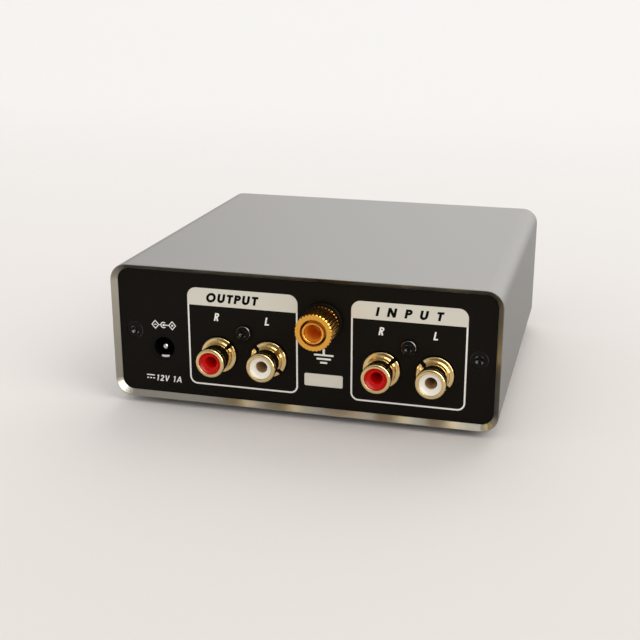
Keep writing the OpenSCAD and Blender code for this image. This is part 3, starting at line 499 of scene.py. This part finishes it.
# The polarity sign: a minus and a plus in diamonds, with lines to an open ring and to the dot inside it
POLARITY_UP, MINUS_ACROSS, RING_ACROSS, PLUS_ACROSS = 21.38, -41.84, -39.38, -36.84
PLUS_HALF = 0.32
diamond = np.array([(1.0, 0), (0, 1.14), (-1.0, 0), (0, -1.14)])
polarity = [(diamond + (middle, POLARITY_UP), 0.24, True) for middle in (MINUS_ACROSS, PLUS_ACROSS)]
polarity.append((arc((RING_ACROSS, POLARITY_UP), 0.78, 50, 310, 24), 0.26, False))
for start, end, width in (
    (-40.85, -40.12, 0.24), (-39.3, -37.8, 0.24), (-42.18, -41.5, 0.24), (-37.16, -36.52, 0.26),
):
    polarity.append(([(start, POLARITY_UP), (end, POLARITY_UP)], width, False))
plus_ends = [(PLUS_ACROSS, POLARITY_UP - PLUS_HALF), (PLUS_ACROSS, POLARITY_UP + PLUS_HALF)]
polarity.append((plus_ends, 0.26, False))
polarity.append((arc((RING_ACROSS, POLARITY_UP), 0.17, 0, 345, 24), 0.3, True))
fine_ink += lines([*direct_current, *ground_sign, *polarity], INK)

# A plain white plate under the ground sign
plate = rounded_box(1.14, 11.82, 7.74, 11.3, 0.45)
plate_middle = np.broadcast_to((6.48, 9.52), plate.shape)
white_ink.append(strip(plate, plate_middle, *INK, closed=True))

white_finish = grained(
    "off_white_ink", (0.71, 0.68, 0.58), (0.77, 0.74, 0.64), (0.55, 0.7),
    grain=0.3 * MM, bump=0.004 * MM, Specular_IOR_Level=0.3,
)
solid("panel_print_white", [on_panel(part) for part in white_ink], white_finish, "case")
fine_finish = grained(
    "thick_white_ink", (0.90, 0.88, 0.82), (0.94, 0.92, 0.87), (0.5, 0.65),
    grain=0.3 * MM, bump=0.004 * MM, Specular_IOR_Level=0.3,
)
solid("panel_print_signs", [on_panel(part) for part in fine_ink], fine_finish, "case")

OUTPUT_PLACES = [-26.7, -23.5, -20.9, -18.7, -16.45, -13.8]
INPUT_PLACES = [20.55, 23.55, 28.2, 32.12, 36.45]
black_ink = lettering("OUTPUT", OUTPUT_PLACES, 29.15, OVER_INK, cap=2.5, weight=0.285)
black_ink += lettering("INPUT", INPUT_PLACES, 29.05, OVER_INK, cap=2.48, weight=0.28)
black_finish = grained(
    "black_ink", (0.002, 0.0018, 0.0015), (0.004, 0.0035, 0.003), (0.5, 0.65),
    grain=0.3 * MM, bump=0.004 * MM, Specular_IOR_Level=0.04,
)
solid("panel_print_black", [on_panel(part) for part in black_ink], black_finish, "case")

# ---- Panel and block screws ----
# M2.5 cross-head machine screws in glossy black zinc: countersunk in the panels, pan head where they hold
# the phono blocks.
screw_finish = grained(
    "black_zinc", (0.004, 0.0032, 0.0026), (0.008, 0.0064, 0.0052), (0.12, 0.2),
    grain=0.15 * MM, bump=0.001 * MM, Specular_IOR_Level=0.09,
)
THREAD_PITCH, THREAD_DEPTH, RECESS_R, CROWN = 0.45, 0.28, 1.4, 0.12
# The grey of worn metal in the recesses, which also paints glints there
WORN_GLINT_GREY = (0.60, 0.585, 0.56)
SIDE_SCREW_X, MIDDLE_UP, BLOCK_SCREWS_UP = 48.1, 21.25, 23.15
# Both heads as (radius, out) points, from the neck to the top of the edge
FLAT_HEAD = [(1.25, -1.55), (2.38, -0.42), (2.40, -0.36), (2.40, -0.20), (2.36, -0.145), (2.28, -0.12)]
PAN_HEAD = [
    (1.3, 0.0), (2.1, 0.0), (2.19, 0.06), (2.2, 0.45), (2.13, 0.74), (1.95, 0.98), (1.65, 1.12), (1.3, 1.18),
]


def wear_and_painted_glints(material, middle_x, reach_x, up, floor_out, edge_r, edge_out, shine, rim_glint_colour):
    """Wears the floors of the recess's wings to grey metal of a given shine, and the rim to a given colour.
    This is worn metal and painted glints both, since black zinc shows glints only where it reflects a lamp.
    The two heads lie reach_x on either side of middle_x. A wing's floor is a slope, whose normal has a
    middling share of Y, below floor_out. The rim is beyond edge_r and edge_out."""
    tree = material.node_tree
    from_middle = vector_step(tree, "SUBTRACT", own_place(tree), (middle_x * MM, 0, up * MM))
    from_middle = vector_step(tree, "ABSOLUTE", from_middle)
    from_axis = vector_step(tree, "SUBTRACT", from_middle, (reach_x * MM, 0, 0))
    radius = vector_step(tree, "LENGTH", vector_step(tree, "MULTIPLY", from_axis, (1, 0, 1)))
    out_by = split(tree, from_middle)["Y"]
    normal = tree.nodes.new("ShaderNodeNewGeometry").outputs["Normal"]
    facing = split(tree, vector_step(tree, "ABSOLUTE", normal))["Y"]
    from_half = number_step(tree, "ABSOLUTE", number_step(tree, "SUBTRACT", facing, 0.5), 0)
    slope = number_step(tree, "LESS_THAN", from_half, 0.25)
    wings = number_step(tree, "MULTIPLY", slope, number_step(tree, "LESS_THAN", radius, RECESS_R * MM))
    low = number_step(tree, "LESS_THAN", out_by, PANEL_FACE + floor_out * MM)
    where(material, number_step(tree, "MULTIPLY", wings, low), WORN_GLINT_GREY, 0.22, shine)
    wide = number_step(tree, "GREATER_THAN", radius, edge_r * MM)
    high = number_step(tree, "GREATER_THAN", out_by, PANEL_FACE + edge_out * MM)
    where(material, number_step(tree, "MULTIPLY", wide, high), rim_glint_colour, 0.12)


def swept(radius, out_by, turn, across, up, around=True):
    """A form swept round an axis that runs straight out of the panel: a grid with a row for each point of
    the outline and a column for each turn. Turn t puts a point at across + radius cos t, up + radius
    sin t. Where around is true, the last row joins the first."""
    radius, out_by, turn = np.broadcast_arrays(radius, out_by, turn)
    points = np.stack(
        [across + radius * np.cos(turn), PANEL_FACE / MM + out_by, up + radius * np.sin(turn)], -1
    )
    number = np.arange(radius.size).reshape(radius.shape)
    after = np.roll(number, -1, 0) if around else number[1:]
    number = number if around else number[:-1]
    faces = np.stack([number[:, :-1], number[:, 1:], after[:, 1:], after[:, :-1]], -1).reshape(-1, 4)
    return points.reshape(-1, 3) * MM, faces.tolist()


def turned(radius, out_by, across, up, columns=96, around=True):
    """A form swept through a full turn. radius and out_by are one value for each row of the outline, or
    one for each row and column."""
    radius, out_by = [np.asarray(part, float).reshape(len(radius), -1) for part in (radius, out_by)]
    return swept(radius, out_by, np.linspace(0, 2 * np.pi, columns + 1), across, up, around)


def thread(crest, depth, pitch, start, end, columns):
    """The rows of a right-hand thread, from start to end along its axis. A row's height is start plus its
    share of the pitch plus pitch times the turn, so that the crest, flanks and root run as true helices.
    45 degree cones, which start 1.15 depths below the crest, trim both ends."""
    share = np.array([0.0, 0.12, 0.44, 0.68])
    turns = int(np.ceil((end - start) / pitch)) + 2
    row = (np.arange(-1, turns)[:, None] + share).ravel()
    sunk = np.tile([0.0, 0.0, 1.0, 1.0], turns + 1)
    along = start + pitch * (row[:, None] - np.linspace(0, 1, columns + 1))
    kept = np.clip(along, start, end)
    cone = crest - depth * 1.15 + np.minimum(kept - start, end - kept)
    radius = np.minimum(crest - depth * sunk[:, None], cone)
    return radius, kept


def rows_of(outline, columns):
    """Carries a plain (radius, out) outline to every column."""
    radius, out_by = np.asarray(outline, float).T
    return tuple(np.repeat(part[:, None], columns + 1, 1) for part in (radius, out_by))


def joined(*parts):
    """Sets the rows of several parts after each other."""
    return [np.concatenate([part[k] for part in parts]) for k in (0, 1)]


def cross_depth(across, up, size, depth):
    """How deep a cross recess lies under a point of a screw's head. A wing is 0.3 of the recess's size
    wide, its floor rises to its end by two in one, and its walls lean by one in seven. Near the mouth the
    fall is s^2 / 4q over the width 2q, which rounds the edge."""
    round_off = size * 0.025
    made = 0.0
    for along, aside in ((across, up), (up, across)):
        from_end = size / 2 - np.abs(along)
        inset = np.minimum(size * 0.15 - np.abs(aside), from_end * 0.3)
        eased_in = np.maximum(inset + round_off, 0) ** 2 / (4 * round_off)
        wall = np.where(inset > round_off, inset, eased_in) * 7
        floor_depth = np.clip(from_end * 2.0, 0, depth)
        made = np.maximum(made, np.minimum(wall, floor_depth))
    return made


def screw(head, thread_r, length, size, depth, wings_turn, across, up):
    """A machine screw whose head is an outline of (radius, out) points from the neck to the top of its
    edge. The face inside it is flat, or a shallow crown where the head stands proud, and has the recess
    sunk in it."""
    columns, face_rows = 144, 52
    edge_r, edge_out = head[-1]
    face_r = np.linspace(edge_r, 0, face_rows)[1:, None] + np.zeros(columns + 1)
    turn = np.linspace(0, 2 * np.pi, columns + 1) - np.radians(wings_turn)
    sunk = cross_depth(face_r * np.cos(turn), face_r * np.sin(turn), size, depth)
    crown = CROWN * (edge_out > 0) * (1 - (face_r / edge_r) ** 2)
    neck_out = head[0][1]
    shank = thread(thread_r, THREAD_DEPTH, THREAD_PITCH, neck_out - length, neck_out, columns)
    tip = rows_of([(0.0, neck_out - length)], columns)
    rows = joined(tip, shank, rows_of(head, columns), (face_r, edge_out + crown - sunk))
    return turned(*rows, across, up, columns, around=False)


rear_screws = [
    screw(
        FLAT_HEAD, thread_r=1.25, length=7.4, size=2.6, depth=1.1, wings_turn=45,
        across=side * SIDE_SCREW_X, up=MIDDLE_UP,
    )
    for side in (-1, 1)
]
# The front pair is the rear pair turned half round the unit's upright axis
front_screws = [(points * (-1, -1, 1), faces) for points, faces in rear_screws]
block_screws = [
    screw(
        PAN_HEAD, thread_r=1.3, length=9.0, size=2.5, depth=1.0, wings_turn=wings_turn,
        across=across, up=BLOCK_SCREWS_UP,
    )
    for across, wings_turn in ((15.95, 62), (-29.65, 48))
]
block_screw_finish = screw_finish.copy()
# Painted glints: the recess floors are worn grey metal, and the rims a shinier colour than the zinc
wear_and_painted_glints(
    screw_finish, middle_x=0, reach_x=SIDE_SCREW_X, up=MIDDLE_UP, floor_out=-0.3, edge_r=2.3,
    edge_out=-0.3, shine=0.45, rim_glint_colour=(0.13, 0.125, 0.12),
)
wear_and_painted_glints(
    block_screw_finish, middle_x=-6.85, reach_x=22.8, up=BLOCK_SCREWS_UP, floor_out=0.95, edge_r=1.9,
    edge_out=0.6, shine=0.8, rim_glint_colour=(0.10, 0.095, 0.09),
)
for node_name, made, finish in (
    ("rear_panel_screws", rear_screws, screw_finish), ("front_panel_screws", front_screws, screw_finish),
    ("rca_block_screws", block_screws, block_screw_finish),
):
    piece = solid("cross_head_" + node_name, made, finish, "case")
    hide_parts(node_name)

# ---- Phono sockets ----
# Drawn brass shells, polished and flashed with pale gold, on black moulded blocks. Inside each is a
# coloured insert, red for right and white for left, with a dished face, round a split contact.
gold_flash = grained(
    "pale_gold_flash", (0.66, 0.485, 0.212), (0.72, 0.545, 0.26), (0.06, 0.1),
    grain=2.5 * MM, bump=0, metallic=1.0, Coat_Weight=0.6,
)
block_finish = grained(
    "black_moulding", (0.003, 0.0025, 0.002), (0.006, 0.005, 0.004), (0.35, 0.5),
    grain=0.25 * MM, bump=0.006 * MM, Specular_IOR_Level=0.08,
)
dress(block_finish, "rca_housing_output", "rca_housing_input")


def eased(corners, steps=5):
    """A closed outline of (radius, out, ease) corners, each rounded by a quadratic curve that leaves its
    two edges at the distance ease: (1-s)^2 of one point, 2s(1-s) of the corner and s^2 of the other."""
    corners = np.asarray(corners, float)
    spot, ease = corners[:, :2], corners[:, 2:]
    ahead = np.roll(spot, -1, 0) - spot
    back = np.roll(spot, 1, 0) - spot
    leave = spot + ahead / np.linalg.norm(ahead, axis=1, keepdims=True) * ease
    meet = spot + back / np.linalg.norm(back, axis=1, keepdims=True) * ease
    s = np.linspace(0, 1, steps)[None, :, None]
    curve = (1 - s) ** 2 * meet[:, None] + 2 * s * (1 - s) * spot[:, None] + s**2 * leave[:, None]
    return curve.reshape(-1, 2)


def leaf(outline, start, end, gap, across, up, columns=20):
    """Part of a turned form, between two straight-sided gaps: a closed (radius, out) outline swept from
    turn start to turn end, in degrees, less at each end the angle that half the gap fills at that radius,
    asin(gap / 2 radius)."""
    radius, out_by = np.asarray(outline, float).T[..., None]
    ends = np.arcsin(gap / 2 / radius)
    turn = np.radians(start) + ends + (np.radians(end - start) - 2 * ends) * np.linspace(0, 1, columns + 1)
    points, faces = swept(radius, out_by, turn, across, up)
    first = np.arange(len(outline)) * (columns + 1)
    return points, faces + [first.tolist(), (first + columns).tolist()]


def block(low, high):
    """A plain block between two corners, in metres."""
    (x0, y0, z0), (x1, y1, z1) = low, high
    points = np.array([(x, y, z) for x in (x0, x1) for y in (y0, y1) for z in (z0, z1)])
    return points, [(0, 1, 3, 2), (4, 6, 7, 5), (0, 4, 5, 1), (2, 3, 7, 6), (0, 2, 6, 4), (1, 5, 7, 3)]


def tail(node_name, across, top, width=1.6, thick=0.6):
    """The flat tail of a CAD node, at the back of its box, from its foot in the board up to a height."""
    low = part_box(node_name)[0]
    left, right = (across - width / 2) * MM, (across + width / 2) * MM
    return block((left, low.y, low.z), (right, low.y + thick * MM, top * MM))


def back_of(node_name):
    """How far out of the panel the back of a CAD node's box lies, in millimetres: less than zero."""
    return (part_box(node_name)[0].y - PANEL_FACE) / MM


def side_mask(material, side, out_by):
    """One where a point lies further out of the panel than out_by, or less far, as the side says."""
    tree = material.node_tree
    return number_step(tree, side, split(tree, own_place(tree))["Y"], PANEL_FACE + out_by * MM)


# The shell: a barrel with a rolled bead at its mouth, and a domed flange that two straight notches divide.
# For each socket, its place across the unit and the turn of its first notch
SOCKETS = {"output_right": 23.1, "output_left": 8.8, "input_right": -22.5, "input_left": -36.8}
NOTCHES = {"output_right": 137, "output_left": 43, "input_right": 137, "input_left": 43}
SOCKET_UP, NOTCH_W = 16.35, 1.15
BORE_R, NECK_R, BARREL_R, BEAD_R, BARREL_OUT = 3.05, 3.85, 3.93, 4.05, 8.1
FLANGE_FOOT_R, FLANGE_R, FLANGE_OUT, FLANGE_LIP = 3.86, 5.075, 1.0, 1.6
TAIL_DROP = 3.4
flange_outline = eased([
    (FLANGE_FOOT_R, 0.03, 0.01), (FLANGE_R, 0.03, 0.03), (FLANGE_R, FLANGE_OUT, 0.42),
    (BARREL_R, FLANGE_OUT, 0.5), (BARREL_R, FLANGE_LIP, 0.01), (FLANGE_FOOT_R, FLANGE_LIP, 0.01),
], steps=12)
for name, across in SOCKETS.items():
    back = back_of(f"rca_shell_{name}")
    barrel_outline = eased([
        (BORE_R, back, 0.02), (NECK_R, back, 0.02), (NECK_R, 0.0, 0.01), (BARREL_R, 0.0, 0.01),
        (BARREL_R, 6.42, 0.08), (BEAD_R, 6.62, 0.2), (BEAD_R, BARREL_OUT, 0.7), (BORE_R, BARREL_OUT, 0.2),
    ], steps=12)
    parts = [turned(*barrel_outline.T, across, SOCKET_UP, columns=144)]
    parts.append(tail(f"rca_shell_{name}", across, SOCKET_UP - TAIL_DROP))
    for start in (NOTCHES[name], NOTCHES[name] + 180):
        parts.append(leaf(flange_outline, start, start + 180, NOTCH_W, across, SOCKET_UP, columns=72))
    shell = solid(f"phono_shell_{name}", parts, gold_flash, "case")
    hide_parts(f"rca_shell_{name}")

# The insert fills the barrel from the back of the block to just inside the bead. The red moulding has a
# longer throat, which is coloured a brighter red than the rest: painted light in the hole, where shade falls
insert_red = grained(
    "red_insert", (0.52, 0.003, 0.0015), (0.62, 0.006, 0.003), (0.2, 0.3),
    grain=0.8 * MM, bump=0.002 * MM, Specular_IOR_Level=0.16,
)
insert_white = grained(
    "ivory_insert", (0.92, 0.87, 0.745), (0.95, 0.905, 0.795), (0.2, 0.3),
    grain=0.8 * MM, bump=0.002 * MM, Specular_IOR_Level=0.35,
)
INSERT_R, INSERT_BACK, INSERT_OUT, SLEEVE_ROOM_R = 3.0, -13.0, 7.95, 1.76
THROAT_R, THROAT_OUT, RED_THROAT_BACK, WHITE_THROAT_BACK = 1.62, 6.95, -0.6, 6.4
# Painted light: the throat, deep in the hole, is a brighter red
where(insert_red, side_mask(insert_red, "LESS_THAN", THROAT_OUT - 0.05), (0.88, 0.010, 0.005), 0.25, 0.0)
for name, across in SOCKETS.items():
    is_red = name.endswith("right")
    throat = RED_THROAT_BACK if is_red else WHITE_THROAT_BACK
    insert_outline = eased([
        (SLEEVE_ROOM_R, INSERT_BACK, 0.05), (INSERT_R, INSERT_BACK, 0.1), (INSERT_R, INSERT_OUT, 0.06),
        (2.9, INSERT_OUT, 0.08), (2.35, 7.25, 0.5), (THROAT_R, THROAT_OUT, 0.22), (THROAT_R, throat, 0.02),
        (SLEEVE_ROOM_R, throat, 0.02),
    ], steps=7)
    parts = [turned(*insert_outline.T, across, SOCKET_UP)]
    insert = solid(f"phono_insert_{name}", parts, insert_red if is_red else insert_white, "case")
    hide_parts(f"rca_insert_{name}")

# The contact: two leaves that bend in from the sleeve's mouth to grip a pin, the slits between them, and
# the tail to the board. It lies 7 mm deeper in the red insert
contact_finish = grained(
    "worn_gold_contact", (0.58, 0.39, 0.20), (0.68, 0.47, 0.26), (0.4, 0.55),
    grain=0.4 * MM, bump=0.004 * MM, metallic=0.35,
)
LEAF = np.array([
    (1.62, 6.3), (1.56, 5.8), (1.45, 5.0), (1.33, 4.2), (1.24, 3.3), (1.22, 2.4), (1.38, 2.4), (1.4, 3.3),
    (1.48, 4.2), (1.6, 5.0), (1.68, 5.8), (1.7, 6.2), (1.7, 6.32),
])
SLEEVE_R, SLEEVE_BORE_R, SLEEVE_OUT, SLEEVE_FLOOR = 1.7, 1.2, 2.6, 0.6
SLIT_W, SLIT_TURNS, RED_DROP = 0.45, (38, 218), 7.0
for name, across in SOCKETS.items():
    back = back_of(f"rca_contact_{name}")
    drop = 0.0 if name.endswith("left") else RED_DROP
    parts = [leaf(LEAF - (0, drop), slit, slit + 180, SLIT_W, across, SOCKET_UP) for slit in SLIT_TURNS]
    sleeve = np.array([
        (0.0, back), (SLEEVE_R, back), (SLEEVE_R, SLEEVE_OUT - drop), (SLEEVE_BORE_R, SLEEVE_OUT - drop),
        (SLEEVE_BORE_R, back + SLEEVE_FLOOR), (0.0, back + SLEEVE_FLOOR),
    ])
    parts.append(turned(*sleeve.T, across, SOCKET_UP, around=False))
    parts.append(tail(f"rca_contact_{name}", across, SOCKET_UP))
    contact = solid(f"phono_contact_{name}", parts, contact_finish, "case")
    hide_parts(f"rca_contact_{name}")

# ---- Power socket ----
# A moulded black barrel jack behind the panel, with a nickel-plated centre pin and the leaf that presses
# on the plug's sleeve.
dress(block_finish, "dc_jack_body")
nickel_plate = grained(
    "bright_nickel", (0.62, 0.60, 0.57), (0.72, 0.70, 0.67), (0.12, 0.22),
    grain=0.8 * MM, bump=0, metallic=1.0,
)
DC_ACROSS, DC_UP = 39.5, 16.8
# The pin is a rod whose nose is a quarter of an ellipse, turned round
PIN_R, PIN_SHOULDER, NOSE_L = 1.0, -1.65, 1.15
pin_back = back_of("dc_jack_pin")
bend = np.radians(np.linspace(0, 90, 13))
pin_r = np.append([0.0, PIN_R], PIN_R * np.cos(bend))
pin_out = np.append([pin_back, pin_back], NOSE_L * np.sin(bend) + PIN_SHOULDER)
pin_rod = turned(pin_r, pin_out, DC_ACROSS, DC_UP, columns=48, around=False)
pin_parts = [pin_rod, tail("dc_jack_pin", DC_ACROSS, DC_UP)]
pin = solid("power_socket_pin", pin_parts, nickel_plate, "case")
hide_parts("dc_jack_pin")

# The leaf is a bent strip: a steep lip at the mouth, rubbed dull by plugs and coloured lighter as a painted
# highlight, a crest that presses on the plug, and a long fall to its tail
LEAF_W, LEAF_T, LIP_BACK = 2.3, 0.25, -1.0
leaf_plate = nickel_plate.copy()
# Painted highlight: the lip is a lighter, duller nickel than the rest of the leaf
where(leaf_plate, side_mask(leaf_plate, "GREATER_THAN", LIP_BACK), (0.84, 0.82, 0.78), 0.35, 0.4)
top_line = np.array([
    (-0.5, -3.1), (-0.66, -2.84), (-0.94, -2.56), (-1.3, -2.38), (-1.8, -2.3), (-2.6, -2.36), (-4.5, -2.75),
    (-7.0, -3.1), (back_of("dc_jack_spring"), -3.15),
])
edge_out, edge_up = np.concatenate([top_line, top_line[::-1] - (0.0, LEAF_T)]).T
leaf_sides = [
    np.stack([np.full_like(edge_out, side), PANEL_FACE / MM + edge_out, DC_UP + edge_up], 1)
    for side in (DC_ACROSS - LEAF_W / 2, DC_ACROSS + LEAF_W / 2)
]
count = len(edge_out)
strip_faces = [(k, (k + 1) % count, (k + 1) % count + count, k + count) for k in range(count)]
strip_faces += [tuple(range(count)), tuple(range(count, 2 * count))]
leaf_parts = [(np.concatenate(leaf_sides) * MM, strip_faces), tail("dc_jack_spring", DC_ACROSS, DC_UP - 3.2)]
power_leaf = solid("power_socket_leaf", leaf_parts, leaf_plate, "case")
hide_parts("dc_jack_spring")

# ---- Ground post ----
# Turned brass in orange gold: a stud with an M6 thread and a plug hole in its end, and a straight-knurled
# thumb nut that carries a clamp washer, on an insulating black collar.
POST_ACROSS, POST_UP = -6.4, 28.35
gold_plate = grained(
    "orange_gold_plate", (0.72, 0.36, 0.05), (0.80, 0.43, 0.08), (0.16, 0.22),
    grain=2.5 * MM, bump=0, metallic=1.0,
)
bright_plate = grained(
    "bright_orange_gold", (0.76, 0.39, 0.06), (0.82, 0.45, 0.09), (0.05, 0.09),
    grain=2.5 * MM, bump=0, metallic=1.0,
)
dress(gold_plate, "ground_lock_nut")
dress(block_finish, "ground_collar", "ground_inner_washer")
dress(nickel_plate, "ground_tag")

# The stud's rim is rounded outside, and inside it falls in a cone to the bore of the plug hole
STUD_R, STUD_END, STUD_BACK, THREAD_END, HOLE_R, STUD_COLUMNS = 3.0, 10.55, -8.2, 9.4, 2.05, 96
stud_tail = rows_of([(0.0, STUD_BACK), (2.2, STUD_BACK)], STUD_COLUMNS)
stud_thread = thread(STUD_R, depth=0.58, pitch=1.0, start=STUD_BACK, end=THREAD_END, columns=STUD_COLUMNS)
stud_mouth = rows_of([
    (2.3, THREAD_END), (2.95, THREAD_END), (2.95, 10.36), (2.9, 10.48), (2.78, STUD_END), (2.58, STUD_END),
    (2.49, 10.52), (2.42, 10.44), (2.37, 10.32), (2.33, 10.15), (2.3, 9.95), (HOLE_R, 8.95), (HOLE_R, 2.6),
    (0.0, 1.9),
], STUD_COLUMNS)
stud_rows = joined(stud_tail, stud_thread, stud_mouth)
# Painted light: the stud further back than 0.5 mm behind its end, above all the plug hole's bore, is a
# brighter, deeper orange and partly matt, for light bouncing inside the hole
where(bright_plate, side_mask(bright_plate, "LESS_THAN", STUD_END - 0.5), (0.95, 0.42, 0.035), 0.45, 0.45)
stud_parts = [turned(*stud_rows, POST_ACROSS, POST_UP, STUD_COLUMNS, around=False)]
stud = solid("ground_post_stud", stud_parts, bright_plate, "case")
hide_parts("ground_stud")

# The washer turns freely on the stud, the front of its rim rounded off
WASHER_R, WASHER_BORE_R, WASHER_BACK, WASHER_OUT = 4.86, 3.1, 1.52, 2.7
washer_outline = eased([
    (WASHER_BORE_R, WASHER_BACK, 0.02), (WASHER_R, WASHER_BACK, 0.08), (WASHER_R, WASHER_OUT, 0.12),
    (WASHER_BORE_R, WASHER_OUT, 0.02),
])
washer_parts = [turned(*washer_outline.T, POST_ACROSS, POST_UP)]
washer = solid("ground_post_washer", washer_parts, gold_plate, "ground_clamp_washer")
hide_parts("ground_clamp_washer")

# The thumb nut: straight ridges round it, both its ends bevelled, and a counterbore in its front
KNURLS, KNURL_DEPTH, BEVEL = 32, 0.32, 0.24
NUT_R, NUT_BORE_R, COUNTERBORE_R, NUT_BACK = 5.08, 3.05, 3.54, 2.75
# One ridge of the knurl from valley to valley: how far each point is across it and how deep it lies
across_ridge = np.array([-1, -0.88, -0.74, -0.52, -0.34, -0.2, 0.2, 0.34, 0.52, 0.74, 0.88])
sunk_by = np.interp(
    np.abs(across_ridge), [0, 0.2, 0.34, 0.52, 0.74, 0.88, 1], [0, 0.02, 0.12, 0.42, 0.82, 0.97, 1]
)
nut_turn = ((np.arange(KNURLS)[:, None] + across_ridge / 2) * 2 * np.pi / KNURLS).ravel()
nut_turn = np.append(nut_turn, nut_turn[0] + 2 * np.pi)
ridge_r = NUT_R - KNURL_DEPTH * np.append(np.tile(sunk_by, KNURLS), sunk_by[0])
# The bevels cut the ridges back to one circle, and reach in as far as a ridge stands above it
cut_r = np.minimum(ridge_r, NUT_R - BEVEL)
cut_in = np.maximum(0, BEVEL - (NUT_R - ridge_r))
nut_front = STUD_END - 0.3
nut_rows = [
    (NUT_BORE_R, NUT_BACK), (4.6, NUT_BACK), (cut_r, NUT_BACK), (ridge_r, NUT_BACK + cut_in),
    (ridge_r, (NUT_BACK + nut_front) / 2), (ridge_r, nut_front - cut_in), (cut_r, nut_front),
    (4.55, nut_front), (3.68, nut_front), (3.58, nut_front - 0.03), (COUNTERBORE_R, nut_front - 0.12),
    (COUNTERBORE_R, nut_front - 2.7), (NUT_BORE_R, nut_front - 3.1),
]
radius, out_by = [
    np.stack([np.broadcast_to(value, nut_turn.shape) for value in part]) for part in zip(*nut_rows)
]
nut_parts = [swept(radius, out_by, nut_turn, POST_ACROSS, POST_UP)]
thumb_nut = solid("ground_post_nut", nut_parts, gold_plate, "ground_thumb_nut")
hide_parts("ground_thumb_nut")

# ---- Power switch ----
# A small toggle on the front: nickel bushing, washer and hexagon nut, a bat lever, and a red moulded body
# behind the panel.
dress(
    nickel_plate, "switch_bushing", "switch_pin", "switch_washer", "switch_nut", "switch_lever",
    "switch_terminals",
)
switch_red = grained(
    "red_phenolic", (0.22, 0.02, 0.015), (0.30, 0.03, 0.02), (0.35, 0.5),
    grain=0.4 * MM, bump=0.005 * MM,
)
dress(switch_red, "switch_body")

# ---- Power light ----
# A clear 3 mm lamp in a turned bezel, nickel plated, that sits in the front panel. Its two leads run back
# to the board, where they are soldered.
dress(nickel_plate, "led_bezel", "led_leads")
lens_resin = grained(
    "clear_resin", (0.80, 0.86, 0.84), (0.86, 0.92, 0.90), (0.05, 0.12),
    grain=0.4 * MM, bump=0.002 * MM, Transmission_Weight=0.85,
)
dress(lens_resin, "led_lens")

# ---- Feet ----
# Four discs of black rubber, each stuck by its flat top to the underside of the tube, near a corner. The
# unit rests on them.
foot_rubber = grained(
    "foot_rubber", (0.012, 0.012, 0.012), (0.02, 0.02, 0.02), (0.7, 0.85),
    grain=0.3 * MM, bump=0.02 * MM, Specular_IOR_Level=0.3,
)
dress(foot_rubber, "foot_front_left", "foot_front_right", "foot_rear_left", "foot_rear_right")

# ---- Board and its parts ----
# A green glass-fibre board in the tube's slots, with two amplifier chips, a regulator, resistors, and
# electrolytic and film capacitors.
board_green = grained(
    "green_solder_mask", (0.010, 0.07, 0.025), (0.016, 0.11, 0.04), (0.25, 0.4),
    grain=1.5 * MM, bump=0.01 * MM,
)
dress(board_green, "main_board")
chip_black = grained(
    "chip_moulding", (0.012, 0.012, 0.012), (0.022, 0.022, 0.022), (0.5, 0.65),
    grain=0.15 * MM, bump=0.01 * MM,
)
dress(chip_black, "op_amp_left", "op_amp_right", "voltage_regulator")
cap_sleeve = grained(
    "blue_sleeve", (0.015, 0.022, 0.10), (0.02, 0.03, 0.14), (0.3, 0.42),
    grain=0.8 * MM, bump=0.006 * MM,
)
dress(cap_sleeve, *[f"electrolytic_cap_{number}" for number in range(1, 5)])
film_red = grained(
    "film_cap_case", (0.32, 0.03, 0.02), (0.42, 0.045, 0.03), (0.3, 0.45),
    grain=0.6 * MM, bump=0.008 * MM,
)
dress(film_red, *[f"film_cap_{number}" for number in range(1, 5)])
resistor_tan = grained(
    "resistor_coat", (0.50, 0.38, 0.22), (0.60, 0.46, 0.28), (0.4, 0.55),
    grain=0.5 * MM, bump=0.01 * MM,
)
dress(resistor_tan, "resistors")
